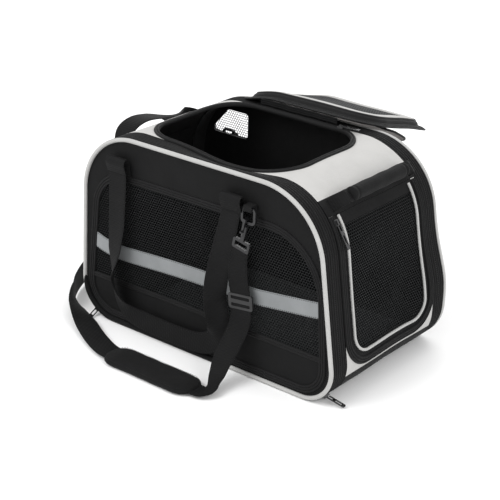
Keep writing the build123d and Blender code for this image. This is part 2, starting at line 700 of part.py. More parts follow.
glide_run = Vector(*glide_top) - Vector(*glide_foot)
glide_place = Plane(origin=Vector(*glide_foot) + glide_run * 0.5,
                    x_dir=glide_run.cross(Vector(0, -1, 0)).normalized(), z_dir=(0, -1, 0))
with BuildPart() as strap_glide:
    with BuildSketch(glide_place.offset(-glide_t / 2)):
        RectangleRounded(glide_w, glide_run.length - 0.8, 4)
        with Locations((0, 5.5), (0, -5.5)):
            RectangleRounded(glide_w - 10, 5.0, 1.5, mode=Mode.SUBTRACT)
    extrude(amount=glide_t)
save(strap_glide.part, "strap_glide")

with BuildPart() as strap_pad:
    with BuildSketch():
        with Locations((strap_pad_x, strap_pad_y)):
            RectangleRounded(strap_pad_l, strap_pad_w, 25)
    extrude(amount=strap_pad_t)
    fillet(strap_pad.faces().sort_by(Axis.Z)[-1].edges(), 4)
save(strap_pad.part, "shoulder_pad")
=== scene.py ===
"""Looks of a soft-sided pet carrier bag: cloth walls with net windows, ridged zip bands, a lid folded
open, an end door, carry handles and a shoulder strap, built around the bag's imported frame."""
import math

import bpy
import numpy as np
from bpy.props import FloatProperty, FloatVectorProperty, IntProperty, PointerProperty
from mathutils import Matrix


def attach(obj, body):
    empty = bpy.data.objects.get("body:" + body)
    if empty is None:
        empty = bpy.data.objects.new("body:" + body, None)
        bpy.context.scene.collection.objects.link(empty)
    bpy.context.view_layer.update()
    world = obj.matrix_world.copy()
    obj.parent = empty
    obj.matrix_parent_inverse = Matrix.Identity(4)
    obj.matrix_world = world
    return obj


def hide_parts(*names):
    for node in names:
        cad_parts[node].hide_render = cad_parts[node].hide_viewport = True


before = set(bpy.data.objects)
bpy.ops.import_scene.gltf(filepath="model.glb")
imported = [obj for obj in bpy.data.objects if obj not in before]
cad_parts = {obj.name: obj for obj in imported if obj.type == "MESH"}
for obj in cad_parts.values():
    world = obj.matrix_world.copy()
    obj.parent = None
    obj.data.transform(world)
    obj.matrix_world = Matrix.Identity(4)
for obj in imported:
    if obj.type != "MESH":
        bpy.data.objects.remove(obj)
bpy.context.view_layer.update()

bl_info = {
    "name": "Pet carrier bag",
    "version": (1, 0, 0),
    "blender": (4, 5, 0),
    "location": "View3D > Sidebar > Carrier",
    "description": "Builds the cloth, nets, webbing and hardware of a soft pet carrier around its frame",
    "category": "Object",
}


def length(name, text, value):
    """A length in metres that a user can change."""
    return FloatProperty(name=name, description=text, default=value, unit="LENGTH", precision=4)


def colour(name, text, value):
    """A surface colour that a user can change."""
    return FloatVectorProperty(name=name, description=text, default=value, subtype="COLOR",
                               size=3, min=0.0, max=1.0)


class CarrierSizes(bpy.types.PropertyGroup):
    """Sizes of the bag's shell, the same as the frame's."""
    length: length("Length", "Bag along X at the floor", 0.497)
    height: length("Height", "Floor to top panel", 0.3125)
    depth: length("Depth", "Between the centre lines of the edge pipings", 0.284)
    left_lean: length("Left lean", "How far the left end leans in at the top", 0.0115)
    right_lean: length("Right lean", "How far the door end leans in at the top", 0.0465)
    r_bottom_left: length("Bottom left radius", "Corner radius of the side outline", 0.063)
    r_bottom_right: length("Bottom right radius", "Corner radius of the side outline", 0.054)
    r_top_right: length("Top right radius", "Corner radius of the side outline", 0.112)
    r_top_left: length("Top left radius", "Corner radius of the side outline", 0.104)
    wall: length("Wall", "Thickness of the padded walls", 0.0024)
    band: length("Zip band", "Width of the ridged zip band on each side", 0.034)
    piping_r: length("Piping radius", "Radius of the edge piping", 0.00325)
    bottom_wrap: length("Bottom wrap", "How far the floor panel turns up the ends", 0.039)
    header_top: length("Header top", "Top of the black header over the door", 0.288)
    door_top: length("Door top", "Seam that the end door hangs from", 0.269)
    door_bottom: length("Door foot", "Lowest point of the end door", 0.055)
    door_half: length("Half door", "Half the end door's width", 0.098)
    opening_left: length("Opening left", "Left edge of the top opening", -0.154)
    opening_right: length("Opening right", "Right edge of the top opening", 0.110)
    opening_half: length("Half opening", "Half the top opening's depth", 0.100)
    opening_r: length("Opening radius", "Corner radius of the top opening", 0.056)


class CarrierFinish(bpy.types.PropertyGroup):
    """Net, weave and colours."""
    net_pitch: length("Net pitch", "Centre to centre of the net's holes", 0.0045)
    net_thread: length("Net thread", "Thickness of the net's threads", 0.0011)
    tooth_pitch: length("Zip pitch", "Centre to centre of the zips' teeth", 0.0030)
    stitch_pitch: length("Stitch pitch", "Centre to centre of the stitches", 0.0040)
    ridges: IntProperty(name="Band ridges", description="Cords sewn into each zip band", default=6, min=2)
    black: colour("Black cloth", "Panels and webbing", (0.0048, 0.0048, 0.0050))
    grey: colour("Grey cloth", "Top, door end and lid frame", (0.44, 0.435, 0.425))
    piping: colour("Piping", "Edge piping", (0.42, 0.418, 0.41))
    silver: colour("Tape", "Reflective tape", (0.22, 0.23, 0.235))
    thread: colour("Net thread colour", "Net windows", (0.0105, 0.0115, 0.012))


class CameraSettings(bpy.types.PropertyGroup):
    """Where the camera stands."""
    azimuth: FloatProperty(name="Azimuth", description="Turn about the vertical", default=math.radians(38.12),
                           subtype="ANGLE")
    elevation: FloatProperty(name="Elevation", description="Height angle", default=math.radians(23.72),
                             subtype="ANGLE")
    roll: FloatProperty(name="Roll", description="Turn about the view", default=math.radians(1.56),
                        subtype="ANGLE")
    distance: length("Distance", "Camera to its target", 2.139)
    lens: FloatProperty(name="Lens", description="Focal length in millimetres", default=99.27)


# ------------------------------------------------------------------ shapes in plain numbers
def ease(t):
    """Smooth step from 0 to 1."""
    t = np.clip(t, 0.0, 1.0)
    return t * t * (3.0 - 2.0 * t)


def ripple(points, wavelength, seed):
    """Gentle uneven waves, about one high, through points in space."""
    rng = np.random.default_rng(seed)
    total = np.zeros(len(points))
    for _ in range(6):
        way = rng.normal(size=3)
        way /= np.linalg.norm(way)
        k = 2 * math.pi / (wavelength * rng.uniform(0.7, 1.5))
        total += np.sin(points @ way * k + rng.uniform(0, 2 * math.pi))
    return total / 3.0


def unit(vectors):
    """The same vectors, one long."""
    return vectors / np.maximum(np.linalg.norm(vectors, axis=-1, keepdims=True), 1e-12)


def rounded_polygon(corners, radii, step=3.0):
    """Points round a polygon with rounded corners, and the outward direction at each, from the middle
    of the side that ends at the first corner."""
    corners = [np.array(c, float) for c in corners]
    start = (corners[-1] + corners[0]) / 2
    points, outs = [start], [None]
    for i, (p, r) in enumerate(zip(corners, radii)):
        u = unit(corners[i - 1] - p)
        v = unit(corners[(i + 1) % len(corners)] - p)
        half = math.acos(np.clip(u @ v, -1, 1)) / 2
        centre = p + unit(u + v) * r / math.sin(half)
        first = unit(p + u * r / math.tan(half) - centre)
        last = unit(p + v * r / math.tan(half) - centre)
        a0 = math.atan2(first[1], first[0])
        turn = (math.atan2(last[1], last[0]) - a0 + math.pi) % (2 * math.pi) - math.pi
        for t in np.linspace(0, 1, max(2, int(abs(math.degrees(turn)) / step) + 2)):
            out = np.array((math.cos(a0 + turn * t), math.sin(a0 + turn * t)))
            points.append(centre + r * out)
            outs.append(out)
    points.append(start)
    outs.append(outs[1])
    outs[0] = outs[1]
    return np.array(points), np.array(outs)


def along(points):
    """Length run at each point of a line."""
    return np.concatenate([[0], np.cumsum(np.linalg.norm(np.diff(points, axis=0), axis=1))])


def resampled(points, outs, count):
    """The closed line's points and outward directions at even steps, without the repeated last one."""
    run = along(points)
    at = np.linspace(0, run[-1], count, endpoint=False)
    take = lambda values: np.stack([np.interp(at, run, values[:, k]) for k in range(values.shape[1])], 1)
    return take(points), unit(take(outs))


class Shell:
    """The bag's wall: its side outline, carried along Y."""

    def __init__(self, sizes):
        half = sizes.length / 2
        corners = [(half, 0), (half - sizes.right_lean, sizes.height),
                   (-half + sizes.left_lean, sizes.height), (-half, 0)]
        radii = [sizes.r_bottom_right, sizes.r_top_right, sizes.r_top_left, sizes.r_bottom_left]
        self.points, self.outs = rounded_polygon(corners, radii, 1.0)
        self.run = along(self.points)
        self.total = self.run[-1]
        self.peak = int(np.argmin(np.abs(self.points[:, 0]) + 10 * np.abs(self.points[:, 1] - sizes.height)))
        self.face_y = sizes.depth / 2 - 0.001
        self.gusset = sizes.depth / 2 - sizes.band

    def flat(self, s, lift=0.0):
        """Point in X and Z at this run of the outline, lifted outwards."""
        s = np.asarray(s, float) % self.total
        out = np.stack([np.interp(s, self.run, self.outs[:, k]) for k in (0, 1)], -1)
        place = np.stack([np.interp(s, self.run, self.points[:, k]) for k in (0, 1)], -1)
        return place + unit(out) * np.asarray(lift)[..., None]

    def at(self, s, y, lift=0.0):
        """Point in space at this run of the outline and this Y."""
        s, y, lift = np.broadcast_arrays(np.asarray(s, float), y, lift)
        xz = self.flat(s, lift)
        return np.stack([xz[..., 0], y, xz[..., 1]], -1)

    def right(self, z):
        """Run at which the door end is this high."""
        return np.interp(z, self.points[:self.peak, 1], self.run[:self.peak])

    def left(self, z):
        """Run at which the left end is this high."""
        return np.interp(z, self.points[self.peak:, 1][::-1], self.run[self.peak:][::-1])

    def top(self, x):
        """Run at which the upper side of the outline has this X."""
        upper = self.points[:, 1] > self.points[:, 1].max() * 0.5
        return np.interp(-np.asarray(x), -self.points[upper, 0], self.run[upper])


def slump(points):
    """Where a point of the ideal shell lies on the real, slack bag."""
    p = np.asarray(points, float)
    flat = p.reshape(-1, 3)
    x, y, z = flat.T
    q = flat.copy()
    front = ease((-y - 0.128) / 0.012)
    back = ease((y - 0.128) / 0.012)
    belly = np.clip(1 - (x / 0.235) ** 2, 0, 1) * np.clip(1 - ((z - 0.155) / 0.148) ** 2, 0, 1)
    waves = ripple(flat * (1, 0.2, 1), 0.16, 3)
    q[:, 1] += front * belly * (0.003 + 0.0022 * waves) - back * belly * (0.002 + 0.002 * waves)
    rim = ease((y + 0.139) / 0.033) * (1 - ease((y + 0.104) / 0.2)) * ease((z - 0.285) / 0.02)
    q[:, 2] -= 0.013 * rim * np.exp(-((x - 0.022) / 0.085) ** 2)
    roof = ease((z - 0.290) / 0.02) * (1 - front) * (1 - back)
    q[:, 2] += 0.0008 * roof * ripple(flat, 0.12, 5)
    end = ease((x - 0.15) / 0.04) * ease((y - 0.03) / 0.10)
    q[:, 0] += 0.011 * end * np.exp(-((z - 0.105) / 0.055) ** 2)
    door = ease((x - 0.17) / 0.03) * np.clip(1 - (y / 0.105) ** 2, 0, 1)
    q[:, 0] += 0.0012 * door * ripple(flat, 0.11, 9)
    left = ease((-x - 0.19) / 0.03) * np.clip(1 - (y / 0.105) ** 2, 0, 1)
    q[:, 0] += left * np.clip(1 - ((z - 0.16) / 0.11) ** 2, 0, 1) * (0.004 + 0.001 * waves)
    return q.reshape(p.shape)


def spokes(points, centre, angles):
    """Points where rays from the centre at these angles leave a closed line."""
    rel = np.asarray(points) - centre
    a = np.arctan2(rel[:, 1], rel[:, 0])
    r = np.linalg.norm(rel, axis=1)
    order = np.argsort(a)
    radius = np.interp(angles, a[order], r[order], period=2 * math.pi)
    return centre + np.stack([np.cos(angles), np.sin(angles)], 1) * radius[:, None]


def ring_grid(outer, inner, centre, count, rows, corners=()):
    """Rows of points from a closed outer line to an inner one, kept true at the given corners."""
    centre = np.array(centre, float)
    angles = list(np.linspace(-math.pi, math.pi, count, endpoint=False))
    angles += [math.atan2(c[1] - centre[1], c[0] - centre[0]) for c in corners]
    angles = np.array(sorted(angles))
    far, near = dense(outer), dense(inner)
    a, b = spokes(far, centre, angles), spokes(near, centre, angles)
    w = np.linspace(0, 1, rows)[:, None, None]
    return a[None] * (1 - w) + b[None] * w


def dense(points, step=0.0008):
    """A closed line's points at small even steps."""
    points = np.vstack([points, points[:1]])
    run = along(points)
    at = np.arange(0, run[-1], step)
    return np.stack([np.interp(at, run, points[:, k]) for k in (0, 1)], 1)


def box_line(x0, x1, y0, y1, r, step=4.0):
    """A rounded rectangle's points and outward directions."""
    points, outs = rounded_polygon([(x1, y0), (x1, y1), (x0, y1), (x0, y0)], [r] * 4, step)
    return points[:-1], outs[:-1]


def arch_line(grow=0.0):
    """The front window's arched outline in X and Z."""
    left, right, low, high = -0.2325, 0.2235, 0.015, 0.2465
    corners = [(right + grow, low - grow), (right - 0.016 + grow, high + grow),
               (left + 0.022 - grow, high + grow), (left - grow, low - grow)]
    radii = [0.040 + grow, 0.098 + grow, 0.062 + grow, 0.048 + grow]
    points, outs = rounded_polygon(corners, radii, 3.0)
    return points[:-1], outs[:-1]


def clipped(points, low):
    """A closed line cut off below a height, its cut straight."""
    points = dense(points, 0.002)
    return points[points[:, 1] >= low]


# ------------------------------------------------------------------ meshes
def closed_mesh(name, verts, faces, finishes, inner_from=None, sharp=40):
    """A closed mesh whose faces point outwards."""
    verts = np.asarray(verts, float)
    volume = 0.0
    for f in faces:
        a = verts[f[0]]
        for i in range(1, len(f) - 1):
            volume += a @ np.cross(verts[f[i]], verts[f[i + 1]])
    if volume < 0:
        faces = [tuple(reversed(f)) for f in faces]
    mesh = bpy.data.meshes.new(name)
    mesh.from_pydata(verts.tolist(), [], [tuple(int(i) for i in f) for f in faces])
    for finish in finishes:
        mesh.materials.append(finish)
    if inner_from is not None:
        index = np.zeros(len(faces), np.int32)
        index[inner_from:] = 1
        mesh.polygons.foreach_set("material_index", index)
    mesh.polygons.foreach_set("use_smooth", np.ones(len(mesh.polygons), bool))
    mesh.set_sharp_from_angle(angle=math.radians(sharp))
    mesh.update()
    obj = bpy.data.objects.new(name, mesh)
    bpy.context.scene.collection.objects.link(obj)
    return obj


def slab(name, grid, thick, finish, around=False, lining=None, outward=None):
    """A cloth panel of even thickness: its outer face is the grid, its inner face lies behind it."""
    grid = np.asarray(grid, float)
    rows, cols = grid.shape[:2]
    if around:
        wrap = np.concatenate([grid[:, -1:], grid, grid[:, :1]], 1)
        dc = np.gradient(wrap, axis=1)[:, 1:-1]
    else:
        dc = np.gradient(grid, axis=1)
    normal = unit(np.cross(np.gradient(grid, axis=0), dc))
    aim = grid - np.array((0, 0, 0.15)) if outward is None else np.broadcast_to(outward, grid.shape)
    if (normal * aim).sum() < 0:
        normal = -normal
    verts = np.concatenate([grid.reshape(-1, 3), (grid - normal * thick).reshape(-1, 3)])
    n = rows * cols
    span = cols if around else cols - 1
    at = lambda r, c: r * cols + c % cols
    front = [(at(r, c), at(r, c + 1), at(r + 1, c + 1), at(r + 1, c))
             for r in range(rows - 1) for c in range(span)]
    rest = [tuple(n + i for i in reversed(f)) for f in front]
    for r in (0, rows - 1):
        for c in range(span):
            side = (at(r, c + 1), at(r, c), n + at(r, c), n + at(r, c + 1))
            rest.append(side if r == 0 else tuple(reversed(side)))
    if not around:
        for c in (0, cols - 1):
            for r in range(rows - 1):
                side = (at(r, c), at(r + 1, c), n + at(r + 1, c), n + at(r, c))
                rest.append(side if c == 0 else tuple(reversed(side)))
    finishes = [finish, lining] if lining else [finish]
    return closed_mesh(name, verts, front + rest, finishes, len(front) if lining else None)


def swept(name, path, across, up, profile, finish, closed=False, uv=False):
    """A closed cross-section carried along a line, capped at its ends."""
    path, profile = np.asarray(path, float), np.asarray(profile, float)
    if profile.ndim == 2:
        profile = np.broadcast_to(profile, (len(path),) + profile.shape)
    verts = (path[:, None] + np.asarray(across)[:, None] * profile[..., :1]
             + np.asarray(up)[:, None] * profile[..., 1:])
    n, k = verts.shape[:2]
    faces = [((i % n) * k + j, (i % n) * k + (j + 1) % k, ((i + 1) % n) * k + (j + 1) % k, ((i + 1) % n) * k + j)
             for i in range(n if closed else n - 1) for j in range(k)]
    if not closed:
        faces += [tuple(reversed(range(k))), tuple((n - 1) * k + j for j in range(k))]
    obj = closed_mesh(name, verts.reshape(-1, 3), faces, [finish])
    if uv:
        run = along(path)
        layer = obj.data.uv_layers.new(name="cloth")
        where = np.array([(profile[v // k, v % k, 0], run[v // k]) for v in range(n * k)])
        loops = np.zeros(len(obj.data.loops), np.int32)
        obj.data.loops.foreach_get("vertex_index", loops)
        layer.data.foreach_set("uv", where[loops].astype(np.float32).ravel())
    return obj


def circle(radius, sides=10):
    """A round cross-section."""
    a = np.linspace(0, 2 * math.pi, sides, endpoint=False)
    return np.stack([np.cos(a), np.sin(a)], 1) * radius


def cords_profile(width, height, count, base):
    """A flat strip's cross-section with rounded cords side by side on its upper face."""
    a = np.linspace(-width / 2, width / 2, count * 6 + 1)
    rise = base + height * np.abs(np.sin((a / width + 0.5) * count * math.pi)) ** 0.7
    top = np.stack([a, rise], 1)
    return np.vstack([top, [(width / 2, -base), (-width / 2, -base)]])


def strap_profile(width, thick, curl=0.0, count=9):
    """Flat webbing's cross-section: rounded edges, bowed by curl."""
    a = np.linspace(-1, 1, count)
    half = thick / 2 * (1 - 0.55 * np.abs(a) ** 8)
    bow = curl * (a ** 2 - 0.4)
    top = np.stack([a * width / 2, bow + half], 1)
    low = np.stack([a * width / 2, bow - half], 1)[::-1]
    return np.vstack([top, low])


def joined(name, objects):
    """Several meshes made one piece."""
    first = objects[0]
    with bpy.context.temp_override(active_object=first, selected_editable_objects=objects,
                                   selected_objects=objects, object=first):
        bpy.ops.object.join()
    first.name = name
    return first


def install(obj, body, slot, *nodes):
    """The piece rides on its body and stands for these nodes; its slot is not used."""
    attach(obj, body)
    if nodes:
        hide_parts(*nodes)
        if obj.name.split(".")[0] in nodes:
            obj.name = obj.name.split(".")[0] + "_made"
    return obj


def smooth_line(points, name="route"):
    """Points along the smooth spline that given points control."""
    curve = bpy.data.curves.new(name, "CURVE")
    curve.dimensions = "3D"
    curve.resolution_u = 12
    spline = curve.splines.new("NURBS")
    spline.points.add(len(points) - 1)
    for point, place in zip(spline.points, points):
        point.co = (*place, 1.0)
    spline.order_u = 3
    spline.use_endpoint_u = True
    obj = bpy.data.objects.new(name, curve)
    bpy.context.scene.collection.objects.link(obj)
    bpy.context.view_layer.update()
    mesh = bpy.data.meshes.new_from_object(obj.evaluated_get(bpy.context.evaluated_depsgraph_get()))
    line = np.array([v.co[:] for v in mesh.vertices])
    bpy.data.objects.remove(obj)
    bpy.data.meshes.remove(mesh)
    return line


def laid(stops, nudge=0.0):
    """A strap's line through given stops, each a point and the direction of its width there:
    the line, its run, its width's direction and its upper side's."""
    line = smooth_line([s[0] for s in stops])
    run = along(line)
    nearest = [run[int(np.argmin(np.linalg.norm(line - np.array(s[0]), axis=1)))] for s in stops]
    nearest = np.maximum.accumulate(nearest) + np.arange(len(stops)) * nudge
    nearest[0], nearest[-1] = 0, run[-1]
    widths = np.array([s[1] for s in stops], float)
    across = np.stack([np.interp(run, nearest, widths[:, k]) for k in range(3)], 1)
    tangent = unit(np.gradient(line, axis=0))
    across = unit(across - tangent * (across * tangent).sum(1, keepdims=True))
    return line, run, across, np.cross(tangent, across)


def webbing(name, stops, width, thick, finish, curl=0.0):
    """A flat strap of even width through given stops."""
    line, _, across, up = laid(stops)
    obj = swept(name, line, across, up, strap_profile(width, thick, curl), finish, uv=True)
    return obj, line, across, up


# ------------------------------------------------------------------ materials
class Nodes:
    """A short way to write a node tree."""

    def __init__(self, tree):
        self.tree = tree

    def add(self, kind, inputs=None, **settings):
        node = self.tree.nodes.new(kind)
        for key, value in settings.items():
            setattr(node, key, value)
        for key, value in (inputs or {}).items():
            socket = node.inputs[key]
            if isinstance(value, bpy.types.NodeSocket):
                self.tree.links.new(value, socket)
            else:
                socket.default_value = value
        return node

    def math(self, operation, a, b=0.0):
        return self.add("ShaderNodeMath", {0: a, 1: b}, operation=operation).outputs[0]


def material(name, base, roughness, metallic=0.0, sheen=0.0, coat=0.0, specular=0.5):
    """A material and the short tree writer, its shader and Object coordinates."""
    mat = bpy.data.materials.new(name)
    mat.use_nodes = True
    nodes = Nodes(mat.node_tree)
    shader = mat.node_tree.nodes["Principled BSDF"]
    shader.inputs["Roughness"].default_value = roughness
    shader.inputs["Metallic"].default_value = metallic
    shader.inputs["Specular IOR Level"].default_value = specular
    shader.inputs["Sheen Weight"].default_value = sheen
    shader.inputs["Sheen Roughness"].default_value = 0.4
    shader.inputs["Coat Weight"].default_value = coat
    shader.inputs["Base Color"].default_value = (*base, 1)
    mat.diffuse_color = (*base, 1)
    place = nodes.add("ShaderNodeTexCoord").outputs["Object"]
    return mat, nodes, shader, place


def shade_variation(nodes, shader, place, base, spread, size):
    """Uneven tone over the surface: slow clouds and fine lint."""
    clouds = nodes.add("ShaderNodeTexNoise", {"Vector": place, "Scale": 1 / size, "Detail": 3.0})
    lint = nodes.add("ShaderNodeTexNoise", {"Vector": place, "Scale": 900.0, "Detail": 1.0})
    both = nodes.math("ADD", nodes.math("MULTIPLY", clouds.outputs[0], 0.6),
                      nodes.math("MULTIPLY", lint.outputs[0], 0.4))
    ramp = nodes.add("ShaderNodeValToRGB", {0: both})
    ramp.color_ramp.elements[0].position = 0.3
    ramp.color_ramp.elements[1].position = 0.7
    ramp.color_ramp.elements[0].color = (*[c * (1 - spread) for c in base], 1)
    ramp.color_ramp.elements[1].color = (*[min(1, c * (1 + spread)) for c in base], 1)
    nodes.tree.links.new(ramp.outputs[0], shader.inputs["Base Color"])


def woven(name, base, threads=1400.0, depth=0.00015, roughness=0.8, sheen=0.025, spread=0.22):
    """Plain woven cloth: threads along all three axes, so that any flat face shows two of them."""
    mat, nodes, shader, place = material(name, base, roughness, sheen=sheen, specular=0.16)
    shade_variation(nodes, shader, place, base, spread, 0.03)
    height = None
    for way in ("X", "Y", "Z"):
        wave = nodes.add("ShaderNodeTexWave", {"Vector": place, "Scale": threads / 6.283, "Distortion": 0.6,
                                               "Detail": 1.0}, bands_direction=way).outputs["Fac"]
        height = wave if height is None else nodes.math("ADD", height, wave)
    creases = nodes.add("ShaderNodeTexNoise", {"Vector": place, "Scale": 28.0, "Detail": 4.0}).outputs[0]
    fine = nodes.add("ShaderNodeBump", {"Height": height, "Strength": 0.5, "Distance": depth})
    slow = nodes.add("ShaderNodeBump", {"Height": creases, "Strength": 0.35, "Distance": 0.004,
                                        "Normal": fine.outputs[0]})
    nodes.tree.links.new(slow.outputs[0], shader.inputs["Normal"])
    return mat


def ribbed(name, base, ribs=520.0, roughness=0.72):
    """Webbing: fine ribs across the strap and a twill along it, on the strap's own UV map in metres."""
    mat, nodes, shader, place = material(name, base, roughness, sheen=0.02, specular=0.13)
    shade_variation(nodes, shader, place, base, 0.2, 0.02)
    strap = nodes.add("ShaderNodeUVMap", uv_map="cloth").outputs[0]
    rib = nodes.add("ShaderNodeTexWave", {"Vector": strap, "Scale": ribs / 6.283, "Distortion": 0.3},
                    bands_direction="Y").outputs["Fac"]
    twill = nodes.add("ShaderNodeTexWave", {"Vector": strap, "Scale": ribs / 6.283, "Distortion": 0.5},
                      bands_direction="DIAGONAL").outputs["Fac"]
    height = nodes.math("ADD", nodes.math("MULTIPLY", rib, 0.7), nodes.math("MULTIPLY", twill, 0.5))
    bump = nodes.add("ShaderNodeBump", {"Height": height, "Strength": 0.7, "Distance": 0.0004})
    nodes.tree.links.new(bump.outputs[0], shader.inputs["Normal"])
    return mat


def reflective(name, base):
    """Silver tape: glass-bead sparkle over a soft metal sheen."""
    mat, nodes, shader, place = material(name, base, 0.5, metallic=0.35, sheen=0.1)
    shade_variation(nodes, shader, place, base, 0.12, 0.025)
    beads = nodes.add("ShaderNodeTexVoronoi", {"Vector": place, "Scale": 1500.0}).outputs["Distance"]
    bump = nodes.add("ShaderNodeBump", {"Height": beads, "Strength": 0.4, "Distance": 0.0002})
    nodes.tree.links.new(bump.outputs[0], shader.inputs["Normal"])
    return mat


def moulded(name, base, roughness=0.35, metallic=0.0, coat=0.0):
    """Moulded plastic or coated metal: faint grain, smudged gloss."""
    mat, nodes, shader, place = material(name, base, roughness, metallic=metallic, coat=coat)
    grain = nodes.add("ShaderNodeTexNoise", {"Vector": place, "Scale": 700.0, "Detail": 2.0}).outputs[0]
    smudge = nodes.add("ShaderNodeTexNoise", {"Vector": place, "Scale": 60.0, "Detail": 3.0}).outputs[0]
    low, high = roughness * 0.75, min(1.0, roughness * 1.35)
    spread = nodes.add("ShaderNodeMapRange", {"Value": smudge, "From Min": 0.3, "From Max": 0.7,
                                              "To Min": low, "To Max": high}).outputs[0]
    nodes.tree.links.new(spread, shader.inputs["Roughness"])
    bump = nodes.add("ShaderNodeBump", {"Height": grain, "Strength": 0.25, "Distance": 0.0002})
    nodes.tree.links.new(bump.outputs[0], shader.inputs["Normal"])
    shade_variation(nodes, shader, place, base, 0.15, 0.015)
    return mat


def make_finishes(look):
    """All the bag's materials, by a maker's plain names."""
    black = tuple(look.black)
    deep = tuple(c * 0.7 for c in black)
    return {
        "black": woven("black_oxford_cloth", black),
        "lining": woven("black_lining", deep, threads=1800.0, roughness=0.5, sheen=0.02),
        "grey": woven("grey_oxford_cloth", tuple(look.grey), spread=0.05, sheen=0.02),
        "net": woven("net_thread", tuple(look.thread), threads=5000.0, depth=0.0001, roughness=0.45, sheen=0.08),
        "binding": woven("binding_tape", tuple(c * 1.15 for c in black), threads=2600.0, roughness=0.6),
        "zip": woven("zip_tape", tuple(c * 1.05 for c in black), threads=3200.0, roughness=0.62),
        "teeth": moulded("zip_teeth", black, roughness=0.4),
        "piping": woven("piping_cover", tuple(look.piping), threads=2600.0, spread=0.06, sheen=0.03),
        "silver": reflective("silver_tape", tuple(look.silver)),
        "webbing": ribbed("black_webbing", tuple(c * 1.1 for c in black)),
        "padding": woven("padded_cover", tuple(c * 1.1 for c in black), threads=1100.0, depth=0.0003),
        # The shade flap's light-grey cloth is given a darker, brownish grey: painted shade for the shadow under the
        # open lid.
        "shade": woven("flap_cloth_in_painted_shade", (0.26, 0.24, 0.23), spread=0.06),
        "fleece": woven("fleece", (0.010, 0.011, 0.012), threads=500.0, depth=0.0012, roughness=0.95, sheen=0.06),
        "board": moulded("base_board", (0.02, 0.02, 0.021), roughness=0.6),
        "metal": moulded("black_coated_metal", (0.012, 0.012, 0.013), roughness=0.3, metallic=0.4, coat=0.2),
        "bright": moulded("plated_metal", (0.09, 0.09, 0.092), roughness=0.25, metallic=0.9),
        "plastic": moulded("black_plastic", (0.006, 0.006, 0.0065), roughness=0.35, coat=0.1),
        "stitch": woven("black_thread", tuple(c * 2.2 for c in black), threads=6000.0, roughness=0.5),
        "pale_stitch": woven("grey_thread", (0.22, 0.22, 0.22), threads=6000.0, roughness=0.5),
    }


FINISH = {}
WALL = 0.0024                       # padded cloth wall
HALF_DOOR, DOOR_LOW, DOOR_R = 0.098, 0.055, 0.040
DOOR_TOP, HEADER_TOP, BOTTOM_WRAP = 0.269, 0.288, 0.039
KICK_TOP = 0.071                    # top of the solid strip under the front net
NET_PLANE = 0.1398                  # side nets, from the bag's middle plane
FACE_PLANE = 0.1412                 # bindings and stitches on the side panels
BAND_PLANE, PIPING_PLANE = 0.1232, 0.142
STITCH = (0.0028, 0.0007, 0.0007)   # one seam stitch
STRAP_STITCH = (0.003, 0.0006, 0.0005)


# ------------------------------------------------------------------ node trees for what repeats
def new_tree(name, inputs):
    """An empty geometry tree with named inputs."""
    tree = bpy.data.node_groups.new(name, "GeometryNodeTree")
    tree.interface.new_socket("Geometry", in_out="INPUT", socket_type="NodeSocketGeometry")
    for label, kind, value in inputs:
        socket = tree.interface.new_socket(label, in_out="INPUT", socket_type=kind)
        if value is not None:
            socket.default_value = value
    tree.interface.new_socket("Geometry", in_out="OUTPUT", socket_type="NodeSocketGeometry")
    return tree, Nodes(tree), tree.nodes.new("NodeGroupInput"), tree.nodes.new("NodeGroupOutput")


def finish_tree(tree, nodes, geometry, given, out):
    """Ends a tree: real geometry with its material."""
    real = nodes.add("GeometryNodeRealizeInstances", {"Geometry": geometry}).outputs[0]
    done = nodes.add("GeometryNodeSetMaterial", {"Geometry": real, "Material": given.outputs["Finish"]})
    tree.links.new(done.outputs[0], out.inputs[0])
    return tree


